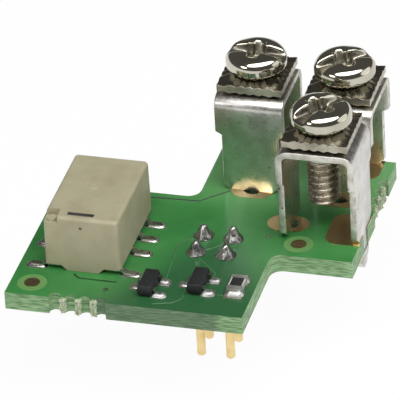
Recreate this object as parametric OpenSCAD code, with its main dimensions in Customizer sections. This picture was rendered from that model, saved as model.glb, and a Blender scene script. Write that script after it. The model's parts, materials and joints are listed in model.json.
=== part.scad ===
// Relay module board: a stepped circuit board with a sealed relay, three open
// screw terminals, a pin header on its underside and a small driver circuit.
// Millimetres. X runs along the front edge, Y towards the back, Z up.
// The origin is the middle of the pin pattern, on the insulator's seating face.
// Places on the board are measured from its front left corner.

/* [Board] */
// Overall width of the board
board_w = 27.05; // [26:0.05:30]
// Overall depth of the board
board_d = 25.5; // [25:0.1:28]
// Thickness of the laminate
board_t = 1.6; // [1:0.1:2.4]
// Width of the board's front part
front_w = 20.2; // [20:0.1:22]
// Depth of the board's front part
front_d = 17.1; // [15.5:0.1:18]
// Width of the board's rear part
rear_w = 15.1; // [14.6:0.1:17]
// Depth of the board's rear part
rear_d = 15.75; // [14.5:0.05:18]
// Radius in the two inner corners of the outline
inner_corner_r = 1.1; // [0.4:0.1:2]
// Thickness of the copper pads
pad_t = 0.05; // [0.03:0.01:0.1]
// Diameter of the two through-plated holes
via_d = 0.4; // [0.2:0.05:0.6]
// Left through-plated hole from the left edge
left_via_x = 8.1; // [7.8:0.05:9]
// Left through-plated hole from the front edge
left_via_y = 1.97; // [1.5:0.01:2.6]
// Right through-plated hole from the left edge
right_via_x = 19.3; // [18.8:0.05:19.6]
// Right through-plated hole from the front edge
right_via_y = 12.2; // [11.5:0.05:13]

/* [Break-off edges] */
// Diameter of the perforations where the board was snapped from its panel
bite_d = 1.0; // [0.6:0.05:1.2]
// Spacing of the perforations
bite_pitch = 1.3; // [1.25:0.05:1.6]
// Number of perforations in each run
bite_count = 4; // [2:1:5]
// Depth of the perforations' centres behind the edge
bite_inset = 0.2; // [0:0.05:0.4]
// Depth to which the stubs between the perforations are snapped off
stub_depth = 0.25; // [0.1:0.05:0.4]
// Middle of the front edge's run, from the left edge
front_bite_x = 6.2; // [5:0.1:12]
// Middle of the right edge's run, from the front edge
side_bite_y = 20.2; // [19.6:0.1:20.6]

/* [Fiducial marks] */
// Diameter of the copper dots that guide the placing machine
fiducial_d = 1.3; // [0.8:0.1:1.6]
// Distance of each dot from the two edges of its corner
fiducial_inset = 1.85; // [1.2:0.05:2.5]

/* [Pin header] */
// Middle of the header from the left edge
header_x = 15.26; // [14.6:0.02:16]
// Middle of the header from the front edge
header_y = 10.05; // [9.4:0.05:11]
// Pitch of the pins in both directions
header_pitch = 2.54; // [2:0.02:2.54]
// Diameter of the pins
pin_d = 0.76; // [0.5:0.02:0.78]
// Diameter of the pins from the seating face up
pin_shank_d = 0.82; // [0.8:0.02:0.86]
// Length of the pins below the insulator
pin_below = 6.0; // [3:0.1:9]
// Height of the pins above the board
pin_above = 0.95; // [0.8:0.05:1]
// Length of the taper at a pin's lower end
pin_taper = 0.15; // [0.1:0.05:0.4]
// Diameter of a pin's flat lower end
pin_end_d = 0.5; // [0.3:0.02:0.5]
// Length of the taper at a pin's upper end
pin_top_taper = 0.55; // [0.4:0.05:0.6]
// Diameter of a pin's flat upper end
pin_top_d = 0.3; // [0.2:0.02:0.36]
// Height of the insulator
insulator_h = 2.54; // [1.5:0.02:4]
// Cut at the insulator's corners
insulator_cut = 0.55; // [0.2:0.05:0.7]
// Diameter of the plated pin holes
pin_hole_d = 1.05; // [0.9:0.05:1.1]
// Diameter of a solder cone at the board
cone_d = 1.65; // [1.3:0.05:1.8]
// Diameter of a solder cone at its waist
cone_waist_d = 1.0; // [0.96:0.02:1.2]
// Height of a solder cone's waist
cone_waist_h = 0.5; // [0.4:0.05:0.6]
// Diameter of a solder cone at its top
cone_top_d = 0.4; // [0.36:0.02:0.6]
// Height of a solder cone
cone_h = 1.1; // [1.05:0.05:1.4]

/* [Terminal layout] */
// Distance between neighbouring terminal screws
terminal_pitch = 7.62; // [7.4:0.02:8]
// Distance of the corner terminal's screw from the right edge
row_inset = 3.25; // [3.1:0.05:3.6]
// Distance of the outer legs from the board's edge
edge_inset = 0.05; // [0:0.05:0.4]
// Length of the oval pads under the inner legs
oval_pad_l = 3.6; // [3:0.1:4.2]
// Width of the oval pads under the inner legs
oval_pad_w = 2.35; // [2.2:0.05:2.8]
// Shift of the oval pads outwards from the middle of the inner legs
oval_pad_shift = 0.15; // [0:0.05:0.3]
// Length of the pads along the edges, under the outer legs
edge_pad_l = 4.7; // [3:0.1:5]
// Depth of the pads along the edges
edge_pad_d = 3.1; // [2.2:0.1:3.2]
// Corner radius of the pads along the edges
edge_pad_r = 1.1; // [0.5:0.1:1.1]

/* [Terminal brackets] */
// Width of a bracket across its two legs
bracket_w = 6.7; // [6.3:0.05:6.9]
// Height of a bracket above its pads
bracket_h = 8.83; // [7.5:0.01:10]
// Thickness of the sheet
sheet_t = 0.6; // [0.5:0.05:0.75]
// Inside radius of the bends
bend_r = 0.45; // [0.2:0.05:0.8]
// Width of the strip at the top
strip_w = 5.9; // [5.7:0.05:6.4]
// Width of the legs below the step
leg_w = 4.8; // [4:0.1:5.2]
// Height of the step's foot on the legs
step_z = 5.3; // [3:0.1:5.6]
// Height of the step's slope
step_h = 0.3; // [0.1:0.05:0.5]
// Cut at the foot of each leg
foot_cut = 0.55; // [0.2:0.05:1]
// Width of the solder tabs
tab_w = 1.25; // [0.8:0.05:1.3]
// Length of the solder tabs below the board
tab_below = 1.7; // [1.2:0.1:2.5]
// Cut at the end of each tab
tab_cut = 0.25; // [0.1:0.05:0.35]
// Diameter of the plated holes for the tabs
tab_hole_d = 1.5; // [1.5:0.05:1.8]
// Outside diameter of the tapped collar under the plate
collar_d = 3.9; // [3.6:0.1:4.4]
// Length of the tapped collar under the plate
collar_h = 0.8; // [0.6:0.05:1.6]
// Height of the solder under the board at each tab
tab_solder_h = 0.8; // [0.5:0.05:1]

/* [Terminal screws] */
// Outside diameter of the thread
thread_d = 2.7; // [2.6:0.05:3]
// Clearance round the thread in its collar
thread_gap = 0.05; // [0.02:0.01:0.1]
// Length under the head
screw_l = 7.45; // [5.5:0.05:7.5]
// Length of the cone at the tip
tip_h = 0.3; // [0.2:0.05:0.8]
// Diameter of the neck that holds the washer captive
neck_d = 2.2; // [1.8:0.05:2.3]
// Clearance of the washer on the neck
neck_gap = 0.15; // [0.05:0.01:0.2]
// Diameter of the head
head_d = 5.2; // [4.6:0.05:5.6]
// Height of the head
head_h = 2.1; // [1.9:0.05:2.6]
// Diameter of the face that the head bears with
head_seat_d = 4.3; // [3.6:0.1:4.8]
// Height of the sloped underside between that face and the head's rim
head_lift = 0.45; // [0.1:0.05:0.55]
// Radius of the head's shoulder
head_r = 0.8; // [0.6:0.05:1.2]
// Radius of the head's crown
crown_r = 7; // [5:0.5:20]
// Width of the slot
slot_w = 0.95; // [0.6:0.05:1.1]
// Depth of the slot
slot_h = 0.95; // [0.6:0.05:1.1]
// Width of the cross recess's wings
wing_w = 0.75; // [0.5:0.05:0.9]
// Length of the cross recess from wing to wing
wing_l = 3.1; // [2.4:0.1:3.4]
// Length of the cross recess at its bottom
wing_foot = 1.6; // [0.8:0.1:2]
// Depth of the cross recess
wing_h = 1.5; // [1.1:0.05:1.7]
// Angle of the left screw's slot
left_slot_angle = -3; // [-90:1:90]
// Angle of the corner screw's slot
corner_slot_angle = 39; // [-90:1:90]
// Angle of the front screw's slot
front_slot_angle = 54; // [-90:1:90]

/* [Clamp washers] */
// Side of the square washers
washer_w = 5.6; // [5.2:0.05:5.7]
// Thickness of the washers
washer_t = 1.34; // [1.2:0.02:1.5]
// Width of the sloped border along the washers' edges
washer_border = 0.9; // [0.5:0.05:1]
// Drop of the sloped border on each face
washer_drop = 0.28; // [0.1:0.01:0.3]
// Number of radial teeth on each face
tooth_count = 24; // [16:4:32]
// Depth of the grooves between the teeth below the sloped border
tooth_h = 0.13; // [0.08:0.01:0.16]
// Share of the tooth spacing that the grooves take up
tooth_share = 0.86; // [0.6:0.02:0.92]
// Clearance at which the clamp pieces rest on one another
seat_gap = 0.02; // [0.01:0.01:0.05]

/* [Relay case] */
// Middle of the relay from the left edge
relay_x = 5.55; // [5.3:0.05:6]
// Middle of the relay from the front edge
relay_y = 9.13; // [8.8:0.05:10]
// Width of the cover
relay_w = 6.5; // [6.3:0.05:7]
// Length of the cover
relay_l = 10; // [9.8:0.05:10.6]
// Height of the cover's top above the board
relay_h = 5.15; // [5:0.05:6]
// Height of the cover's side walls above the board
relay_lift = 0.5; // [0.4:0.05:0.7]
// Draft of each wall from bottom to top
relay_draft = 0.06; // [0.03:0.01:0.2]
// Radius of the cover's edges
relay_r = 0.35; // [0.15:0.05:0.5]
// Thickness of the cover's walls
relay_wall = 0.4; // [0.3:0.05:0.45]
// Width of the foot in the middle of each end wall
relay_foot_w = 2.7; // [2:0.1:2.7]
// Side of the notch in the cover's front left corner
notch_w = 1.3; // [0.8:0.05:1.5]
// Depth of the notch
notch_h = 0.65; // [0.2:0.05:0.7]
// Diameter of the sealed vent nub in the notch
nub_d = 0.85; // [0.5:0.05:0.9]
// Height of the sealed vent nub
nub_h = 0.2; // [0.1:0.02:0.3]
// Diameter of the pinhole in the front wall
pinhole_d = 0.28; // [0.2:0.02:0.4]
// Depth of the pinhole below the top
pinhole_drop = 0.95; // [0.7:0.05:1.5]
// Thickness of the base
base_t = 0.7; // [0.5:0.05:0.8]
// Clearance of the base in the cover
base_gap = 0.03; // [0.01:0.01:0.08]

/* [Relay leads] */
// Distance of the coil leads from the cover's front end
coil_lead_inset = 0.4; // [0.3:0.05:0.6]
// Distance of the last contact leads from the cover's rear end
rear_lead_inset = 2.0; // [1.8:0.05:2.2]
// Distance between the contact leads
contact_pitch = 2.2; // [2:0.05:2.3]
// Width of a lead
lead_w = 0.45; // [0.3:0.05:0.5]
// Thickness of a lead
lead_t = 0.2; // [0.15:0.01:0.25]
// Reach of the leads from the relay's middle
lead_reach = 4.54; // [4.4:0.02:5]
// Length of a lead's flat foot
lead_foot = 1.0; // [0.7:0.05:1.1]
// Place of the posts inside, from the relay's middle
post_x = 2.0; // [1.9:0.02:2.1]

/* [Relay works] */
// Width of the iron core
core_w = 1.2; // [1:0.05:1.3]
// Thickness of the iron core's bar
core_t = 0.7; // [0.5:0.05:0.8]
// Clearance between the works and the cover's rear wall
works_gap = 0.4; // [0.3:0.05:0.5]
// Length of each pole along the relay
pole_l = 0.7; // [0.5:0.05:0.7]
// Wall of the coil former
former_t = 0.15; // [0.1:0.01:0.18]
// Thickness of the former's flanges
flange_t = 0.25; // [0.2:0.01:0.35]
// Thickness of the winding
winding_t = 0.4; // [0.3:0.02:0.45]
// Length of the magnet
magnet_l = 3.2; // [2:0.1:3.4]
// Thickness of the magnet
magnet_t = 0.4; // [0.3:0.05:0.45]
// Thickness of the armature
armature_t = 0.35; // [0.25:0.01:0.4]
// Width of the armature
armature_w = 1.3; // [1:0.05:1.5]
// Radius of the bead that the armature rocks on
bead_r = 0.1; // [0.1:0.01:0.12]
// Tilt of the armature when the coil is off
armature_tilt = 3; // [2:0.1:3]
// Thickness of the contact springs
spring_t = 0.08; // [0.05:0.01:0.1]
// Width of the contact springs
spring_w = 0.6; // [0.4:0.02:0.6]
// Thickness of the carrier that joins the springs to the armature
carrier_t = 0.33; // [0.2:0.01:0.35]
// Diameter of the fixed contacts
contact_d = 0.5; // [0.4:0.02:0.55]
// Air gap at closed contacts and poles
air_gap = 0.03; // [0.02:0.01:0.04]

/* [Transistors] */
// Left transistor from the left edge
left_transistor_x = 11.57; // [11.5:0.01:12.2]
// Left transistor from the front edge
left_transistor_y = 2.83; // [2.4:0.01:4]
// Right transistor from the left edge
right_transistor_x = 15.51; // [15.4:0.01:16.2]
// Right transistor from the front edge
right_transistor_y = 3.86; // [2.4:0.01:4.4]
// Width of a transistor's body
transistor_w = 1.3; // [1.2:0.02:1.4]
// Length of a transistor's body
transistor_l = 2.9; // [2.7:0.05:3.1]
// Height of a transistor's top above its pads
transistor_h = 1.0; // [0.9:0.02:1.1]
// Gap under a transistor's body
transistor_lift = 0.08; // [0.03:0.01:0.12]
// Draft of the body's faces, top and bottom
transistor_draft = 0.1; // [0.03:0.01:0.15]
// Distance between the two leads on one side
transistor_pitch = 1.9; // [1.8:0.02:2]
// Span over the leads
transistor_span = 2.7; // [2.4:0.02:2.8]
// Width of a transistor's lead
transistor_lead_w = 0.4; // [0.35:0.01:0.48]
// Thickness of a transistor's lead
transistor_lead_t = 0.12; // [0.1:0.01:0.16]

/* [Chip resistor] */
// Resistor from the left edge
resistor_x = 18.7; // [18.6:0.02:18.9]
// Resistor from the front edge
resistor_y = 4.25; // [3:0.05:5]
// Width of the resistor
resistor_w = 1.25; // [1.1:0.05:1.3]
// Length of the resistor
resistor_l = 2.0; // [1.8:0.05:2.1]
// Thickness of the ceramic
resistor_h = 0.5; // [0.4:0.02:0.6]
// Length of the metal end caps
cap_l = 0.42; // [0.3:0.02:0.5]
// Thickness of the metal end caps
cap_t = 0.04; // [0.03:0.01:0.06]
// Thickness of the glass over the resistor
glaze_t = 0.05; // [0.03:0.01:0.06]
// Bare margin of the ceramic on both sides of the glass
glaze_inset = 0.14; // [0.05:0.01:0.2]

/* [Soldering] */
// Height of the solder round the relay's feet, which leaves their tops bare
foot_solder_h = 0.16; // [0.1:0.01:0.18]
// Height of the solder on the transistors' feet
lump_h = 0.34; // [0.28:0.02:0.4]
// Reach of the solder past a foot
lump_reach = 0.25; // [0.1:0.01:0.3]
// Slope of the solder's sides, as the amount they draw in
lump_draw = 0.2; // [0.1:0.01:0.22]

/* [Hidden] */
$fn = 48;
// Overshoot of every cutting shape
over = 1;
// Both sides of a symmetric pair
SIDES = [-1, 1];

// Heights
deck_z = insulator_h + board_t;
tab_l = pad_t + board_t + tab_below;
washer_z = bracket_h + seat_gap;
head_z = washer_z + washer_t + seat_gap;

// Terminal places on the board
row_y = board_d - edge_inset - bracket_w / 2;
left_at = [board_w - row_inset - terminal_pitch, row_y];
corner_at = [board_w - row_inset, row_y];
front_at = [board_w - edge_inset - bracket_w / 2, row_y - terminal_pitch];
// Each terminal: its place, and the turn that brings its outer leg to the edge
TERMINALS = [[left_at, 90], [corner_at, 90], [front_at, 0]];
leg_mid = (bracket_w - sheet_t) / 2;

// Small parts' places on the board
relay_at = [relay_x, relay_y];
left_transistor_at = [left_transistor_x, left_transistor_y];
right_transistor_at = [right_transistor_x, right_transistor_y];
TRANSISTORS = [left_transistor_at, right_transistor_at];
resistor_at = [resistor_x, resistor_y];
FIDUCIALS = [
    [fiducial_inset, fiducial_inset],
    [front_w + fiducial_inset, board_d - rear_d + fiducial_inset]
];
VIAS = [[left_via_x, left_via_y], [right_via_x, right_via_y]];

// Relay heights above the board, from the leads up to the carrier
lead_z = relay_lift - lead_t;
base_top = relay_lift + base_t;
core_z = base_top + winding_t + former_t;
flange_top = core_z + core_t + former_t + winding_t;
magnet_top = flange_top + magnet_t;
pivot_z = magnet_top + seat_gap + bead_r;
carrier_z = pivot_z + armature_t;
coil_lead_y = coil_lead_inset - relay_l / 2;
pivot_y = relay_l / 2 - rear_lead_inset - contact_pitch;
spring_rise = (armature_t - spring_t) * cos(armature_tilt);
contact_edge = contact_pitch + contact_d / 2;
contact_top = pivot_z + spring_rise - contact_edge * sin(armature_tilt) - air_gap;
common_top = pivot_z + spring_rise - lead_w / 2 * sin(armature_tilt) - air_gap;
cavity_w = relay_w - 2 * (relay_draft + relay_wall);
cavity_l = relay_l - 2 * (relay_draft + relay_wall);
// Reach of the core and the armature from the pivot
pole_end = cavity_l / 2 - works_gap - pivot_y;
pole_y = pole_end - pole_l / 2;
pole_top = pivot_z - pole_end * sin(armature_tilt) - air_gap;
// Flat plate that a cover's hull starts from
hull_skin = 0.01;
// Height of a fixed contact's head on its post
contact_h = 0.15;
// Set-back of the coil leads' posts behind the leads
coil_post_step = 0.85;

// Moves a piece from the board's front left corner to its place on the top face
module on_board(p, z = deck_z) {
    translate([p.x - header_x, p.y - header_y, z]) children();
}

// Repeats a piece at the four header pins
module at_pins() {
    for (i = SIDES, j = SIDES)
        translate([i * header_pitch / 2, j * header_pitch / 2, 0]) children();
}

// Box with both sides drawn in from its base to its top
module tapered_block(base, top, h) {
    intersection() {
        rotate([90, 0, 0]) linear_extrude(base.y, center = true) taper_outline(base.x, top.x, h);
        rotate([90, 0, 90]) linear_extrude(base.x, center = true) taper_outline(base.y, top.y, h);
    }
}

module taper_outline(base, top, h) {
    polygon([[-base / 2, 0], [base / 2, 0], [top / 2, h], [-top / 2, h]]);
}

// Flat shape with semicircular ends, lying along X
module oval(l, w) {
    square([l - w, w], center = true);
    for (s = SIDES) translate([s * (l - w) / 2, 0]) circle(d = w);
}

// Half plane shape with two round corners at its inner side; the outer side is at x = 0
module edge_pad_outline() {
    translate([-edge_pad_d, edge_pad_r - edge_pad_l / 2])
        square([edge_pad_d, edge_pad_l - 2 * edge_pad_r]);
    translate([edge_pad_r - edge_pad_d, -edge_pad_l / 2])
        square([edge_pad_d - edge_pad_r, edge_pad_l]);
    for (s = SIDES)
        translate([edge_pad_r - edge_pad_d, s * (edge_pad_l / 2 - edge_pad_r)]) circle(r = edge_pad_r);
}

// Board

// Fills an inner corner of the outline; sx and sy point into the open quarter
module inner_fillet(corner, sx, sy) {
    centre = corner + inner_corner_r * [sx, sy];
    difference() {
        translate((corner + centre) / 2) square(inner_corner_r, center = true);
        translate(centre) circle(r = inner_corner_r);
    }
}

// Run of snapped-off perforations along X, on an edge at y = 0 with the board at y > 0
module break_off_run() {
    run = bite_pitch * (bite_count - 1);
    translate([-run / 2, -over]) square([run, over + stub_depth]);
    for (i = [0:bite_count - 1])
        translate([i * bite_pitch - run / 2, bite_inset]) circle(d = bite_d);
}

module board_outline() {
    rear_corner = [board_w - rear_w, board_d - rear_d];
    difference() {
        union() {
            square([front_w, front_d]);
            translate(rear_corner) square([rear_w, rear_d]);
            inner_fillet([front_w, rear_corner.y], 1, -1);
            inner_fillet([rear_corner.x, front_d], -1, 1);
        }
        translate([front_bite_x, 0]) break_off_run();
        translate([board_w, side_bite_y]) rotate(90) break_off_run();
    }
}

// Holes for the brackets' tabs, on the board
module tab_holes() {
    for (t = TERMINALS, s = SIDES)
        translate(t[0]) rotate(t[1]) translate([s * leg_mid, 0]) circle(d = tab_hole_d);
}

module circuit_board() {
    color("seagreen") on_board([0, 0], insulator_h) difference() {
        linear_extrude(board_t) difference() {
            board_outline();
            tab_holes();
            for (v = VIAS) translate(v) circle(d = via_d);
        }
        translate([header_x, header_y, -over]) at_pins() cylinder(d = pin_hole_d, h = board_t + 2 * over);
    }
}

// Pads under the bracket legs, on both faces of the board
module terminal_pad_outline() {
    intersection() {
        difference() {
            for (t = TERMINALS) translate(t[0]) {
                rotate(t[1]) translate([-leg_mid - oval_pad_shift, 0]) rotate(-t[1])
                    oval(oval_pad_l, oval_pad_w);
                rotate(t[1]) translate([bracket_w / 2 + edge_inset, 0]) edge_pad_outline();
            }
            tab_holes();
        }
        board_outline();
    }
}

module terminal_pads() {
    color("gold") for (z = [deck_z, insulator_h - pad_t])
        on_board([0, 0], z) linear_extrude(pad_t) terminal_pad_outline();
}

module component_pads() {
    color("silver") {
        on_board([0, 0]) linear_extrude(pad_t) {
            for (y = lead_places(), s = SIDES)
                translate(relay_at + [s * lead_pad_x, y]) square([lead_pad_l, lead_pad_w], center = true);
            for (p = TRANSISTORS, f = transistor_feet())
                translate(p + f) square(transistor_pad, center = true);
            for (s = SIDES)
                translate(resistor_at + [0, s * resistor_pad_y]) square(resistor_pad, center = true);
        }
        translate([0, 0, deck_z]) linear_extrude(pad_t) at_pins() difference() {
            circle(d = cone_d);
            circle(d = pin_hole_d);
        }
    }
}

module fiducial_dots() {
    color("peru") for (p = FIDUCIALS) on_board(p) cylinder(d = fiducial_d, h = pad_t);
}

// Screw terminals, drawn with the outer leg at +X and the foot of the legs at z = 0

// Section of the folded sheet: two legs and a plate with round bends
module fold_section() {
    difference() {
        bent_outline(bracket_w, bracket_h, bend_r + sheet_t);
        bent_outline(bracket_w - 2 * sheet_t, bracket_h - sheet_t, bend_r);
    }
}

// Upright outline with two round upper corners that reaches down to the tabs' ends
module bent_outline(w, h, r) {
    translate([-w / 2, -tab_l]) square([w, h + tab_l - r]);
    translate([r - w / 2, -tab_l]) square([w - 2 * r, h + tab_l]);
    for (s = SIDES) translate([s * (w / 2 - r), h - r]) circle(r = r);
}

// Outline of a leg seen from its side: step, cut feet and solder tab
module leg_outline() {
    half = [
        [strip_w / 2, bracket_h + over], [strip_w / 2, step_z + step_h], [leg_w / 2, step_z],
        [leg_w / 2, foot_cut], [leg_w / 2 - foot_cut, 0], [tab_w / 2, 0],
        [tab_w / 2, tab_cut - tab_l], [tab_w / 2 - tab_cut, -tab_l]
    ];
    mirrored = [for (i = [len(half) - 1:-1:0]) [-half[i].x, half[i].y]];
    polygon(concat(half, mirrored));
}

module bracket() {
    plate_z = bracket_h - sheet_t;
    difference() {
        union() {
            intersection() {
                rotate([90, 0, 0]) linear_extrude(strip_w, center = true) fold_section();
                rotate([90, 0, 90]) linear_extrude(bracket_w, center = true) leg_outline();
            }
            translate([0, 0, plate_z - collar_h]) cylinder(d = collar_d, h = collar_h + sheet_t / 2);
        }
        translate([0, 0, plate_z - collar_h - over])
            cylinder(d = thread_d + 2 * thread_gap, h = collar_h + sheet_t + 2 * over);
    }
}

// V-shaped groove in the given direction, which follows the slope of that side's border from z = 0
module tooth_groove(turn) {
    // Cosine of the direction's angle to the nearest side's middle
    lean = cos((turn + 45) % 90 - 45);
    border_slope = washer_drop / washer_border;
    start = (washer_w / 2 - washer_border - tooth_h / border_slope) / lean;
    half_w = tooth_share * tan(180 / tooth_count) * washer_w / 2 / lean;
    spread = half_w / tooth_h;
    rotate(turn) translate([start, 0, 0]) rotate([90 + atan(border_slope * lean), 0, 90])
        linear_extrude(washer_w) polygon([[0, 0], [over * spread, over], [-over * spread, over]]);
}

module tooth_ring() {
    for (i = [0:tooth_count - 1]) tooth_groove((i + 0.5) * 360 / tooth_count);
}

// Side view of the washer with its four sloped borders
module washer_section() {
    r = washer_w / 2;
    b = washer_border;
    d = washer_drop;
    polygon([
        [b - r, 0], [r - b, 0], [r, d], [r, washer_t - d],
        [r - b, washer_t], [b - r, washer_t], [-r, washer_t - d], [-r, d]
    ]);
}

module clamp_washer() {
    difference() {
        intersection() {
            rotate([90, 0, 0]) linear_extrude(washer_w, center = true) washer_section();
            rotate([90, 0, 90]) linear_extrude(washer_w, center = true) washer_section();
        }
        translate([0, 0, washer_t]) tooth_ring();
        mirror([0, 0, 1]) tooth_ring();
        translate([0, 0, -over]) cylinder(d = neck_d + 2 * neck_gap, h = washer_t + 2 * over);
    }
}

// Half section of the pan head, with a crown that runs smoothly into the shoulder
module head_section() {
    r = head_d / 2;
    rim = r - head_r;
    crown_z = head_h - crown_r;
    rim_z = crown_z + sqrt((crown_r - head_r) ^ 2 - rim ^ 2);
    // Radius at which the crown meets the shoulder
    blend = rim * crown_r / (crown_r - head_r);
    intersection() {
        square([r, head_h]);
        union() {
            polygon([[0, 0], [head_seat_d / 2, 0], [r, head_lift], [r, rim_z], [0, rim_z]]);
            intersection() {
                translate([rim, rim_z]) circle(r = head_r);
                translate([0, rim_z]) square([r, head_r]);
            }
            intersection() {
                translate([0, crown_z]) circle(r = crown_r, $fn = 96);
                square([blend, head_h]);
            }
        }
    }
}

// Slot and cross recess together, cut down from the top of the head
module combined_recess() {
    translate([-head_d, -slot_w / 2, head_h - slot_h]) cube([2 * head_d, slot_w, slot_h + over]);
    for (a = [0, 90]) rotate(a) rotate([90, 0, 0]) linear_extrude(wing_w, center = true)
        polygon([
            [-wing_l / 2, head_h], [-wing_foot / 2, head_h - wing_h],
            [wing_foot / 2, head_h - wing_h], [wing_l / 2, head_h],
            [wing_l / 2, head_h + over], [-wing_l / 2, head_h + over]
        ]);
}

// Screw with its head's underside at z = 0
module terminal_screw() {
    neck_l = washer_t + 2 * seat_gap;
    difference() {
        rotate_extrude() head_section();
        combined_recess();
    }
    translate([0, 0, -neck_l]) cylinder(d = neck_d, h = neck_l);
    translate([0, 0, tip_h - screw_l]) cylinder(d = thread_d, h = screw_l - neck_l - tip_h);
    translate([0, 0, -screw_l]) cylinder(d1 = thread_d - tip_h, d2 = thread_d, h = tip_h);
}

module place_bracket(i) {
    color("silver") on_board(TERMINALS[i][0]) translate([0, 0, pad_t]) rotate(TERMINALS[i][1]) bracket();
}

module place_washer(i) {
    color("gainsboro") on_board(TERMINALS[i][0]) translate([0, 0, pad_t + washer_z]) clamp_washer();
}

module place_screw(i, angle) {
    color("lightgray") on_board(TERMINALS[i][0]) translate([0, 0, pad_t + head_z]) rotate(angle)
        terminal_screw();
}

module left_bracket() { place_bracket(0); }
module corner_bracket() { place_bracket(1); }
module front_bracket() { place_bracket(2); }
module left_washer() { place_washer(0); }
module corner_washer() { place_washer(1); }
module front_washer() { place_washer(2); }
module left_screw() { place_screw(0, left_slot_angle); }
module corner_screw() { place_screw(1, corner_slot_angle); }
module front_screw() { place_screw(2, front_slot_angle); }

// Solder round the tabs on the underside, trimmed at the board's edge
module terminal_solder() {
    color("darkgray") difference() {
        intersection() {
            for (t = TERMINALS, s = SIDES)
                on_board(t[0], insulator_h - pad_t - tab_solder_h) rotate(t[1]) translate([s * leg_mid, 0, 0])
                    cylinder(d1 = tab_hole_d, d2 = tab_hole_d + tab_solder_h, h = tab_solder_h);
            on_board([0, 0], 0) linear_extrude(insulator_h) board_outline();
        }
        for (t = TERMINALS, s = SIDES)
            on_board(t[0], insulator_h - tab_l) rotate(t[1]) translate([s * leg_mid, 0, tab_l / 2])
                cube([sheet_t, tab_w, 2 * tab_l], center = true);
    }
}

// Pin header

module header_insulator() {
    side = 2 * header_pitch;
    c = insulator_cut;
    color("dimgray") difference() {
        linear_extrude(insulator_h) difference() {
            square(side, center = true);
            for (i = SIDES, j = SIDES)
                translate([i * side / 2, j * side / 2]) rotate(45) square(c * sqrt(2), center = true);
            for (a = [0, 90], s = SIDES)
                rotate(a) translate([s * side / 2, 0]) rotate(45) square(c * sqrt(2), center = true);
        }
        translate([0, 0, -over]) at_pins() cylinder(d = pin_shank_d, h = insulator_h + 2 * over);
    }
}

// Pin from the seating face up, with its long upper taper
module pin_shank() {
    shank_l = deck_z + pin_above - pin_top_taper;
    cylinder(d = pin_shank_d, h = shank_l);
    translate([0, 0, shank_l]) cylinder(d1 = pin_shank_d, d2 = pin_top_d, h = pin_top_taper);
}

module header_pins() {
    color("gold") at_pins() {
        translate([0, 0, -pin_below]) cylinder(d1 = pin_end_d, d2 = pin_d, h = pin_taper);
        translate([0, 0, pin_taper - pin_below]) cylinder(d = pin_d, h = pin_below - pin_taper);
        pin_shank();
    }
}

// Solder through the board and in a bell-shaped cone over each pin's top
module header_solder() {
    color("darkgray") at_pins() difference() {
        union() {
            translate([0, 0, insulator_h]) cylinder(d = pin_hole_d, h = board_t + pad_t);
            translate([0, 0, deck_z + pad_t]) cylinder(d1 = cone_d, d2 = cone_waist_d, h = cone_waist_h);
            translate([0, 0, deck_z + pad_t + cone_waist_h])
                cylinder(d1 = cone_waist_d, d2 = cone_top_d, h = cone_h - cone_waist_h);
        }
        pin_shank();
    }
}

// Relay, drawn with its middle at the origin and the board's top at z = 0

module cover_hull() {
    hull() for (i = SIDES, j = SIDES) {
        translate([i * (relay_w / 2 - relay_r), j * (relay_l / 2 - relay_r), 0])
            cylinder(r = relay_r, h = hull_skin, $fn = 32);
        translate([
            i * (relay_w / 2 - relay_draft - relay_r),
            j * (relay_l / 2 - relay_draft - relay_r),
            relay_h - relay_r
        ]) sphere(r = relay_r, $fn = 32);
    }
}

// Clears the cover's walls below the lift, apart from a sloped foot in each end wall
module foot_clearance() {
    for (s = SIDES) rotate([90, 0, 0]) linear_extrude(2 * relay_l, center = true) polygon([
        [s * relay_foot_w / 2, -over], [s * relay_foot_w / 2, seat_gap],
        [s * (relay_foot_w / 2 + relay_lift), relay_lift],
        [s * relay_w, relay_lift], [s * relay_w, -over]
    ]);
}

// Corner of the cover's top, taken to the given size and depth
module corner_block(side, depth) {
    translate([-relay_w / 2 - over, -relay_l / 2 - over, relay_h - depth])
        cube([side + over, side + over, depth + over]);
}

// Room inside the cover, which leaves a full wall round the notch
module cover_cavity() {
    difference() {
        translate([-cavity_w / 2, -cavity_l / 2, -over])
            cube([cavity_w, cavity_l, over + relay_h - relay_wall]);
        corner_block(notch_w + relay_wall, notch_h + relay_wall);
    }
}

module relay_cover() {
    nub_at = relay_draft + (notch_w - relay_draft) / 2;
    nub_root = relay_wall / 2;
    color("tan") on_board(relay_at) {
        difference() {
            cover_hull();
            foot_clearance();
            translate([-relay_w, -relay_l, -over]) cube([2 * relay_w, 2 * relay_l, over + seat_gap]);
            cover_cavity();
            corner_block(notch_w, notch_h);
            translate([0, -relay_l / 2 + relay_draft + relay_wall / 2, relay_h - pinhole_drop])
                rotate([90, 0, 0]) cylinder(d = pinhole_d, h = relay_wall + over);
        }
        translate([nub_at - relay_w / 2, nub_at - relay_l / 2, relay_h - notch_h - nub_root])
            cylinder(d = nub_d, h = nub_h + nub_root);
    }
}

// Lead places along the relay: coil, closed contact, common, open contact
function lead_places() = [
    coil_lead_y, pivot_y - contact_pitch, pivot_y, pivot_y + contact_pitch
];
lead_pad_l = lead_foot + 2 * lump_reach;
lead_pad_w = lead_w + 2 * lump_reach;
lead_pad_x = lead_reach - lead_foot / 2;

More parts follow.
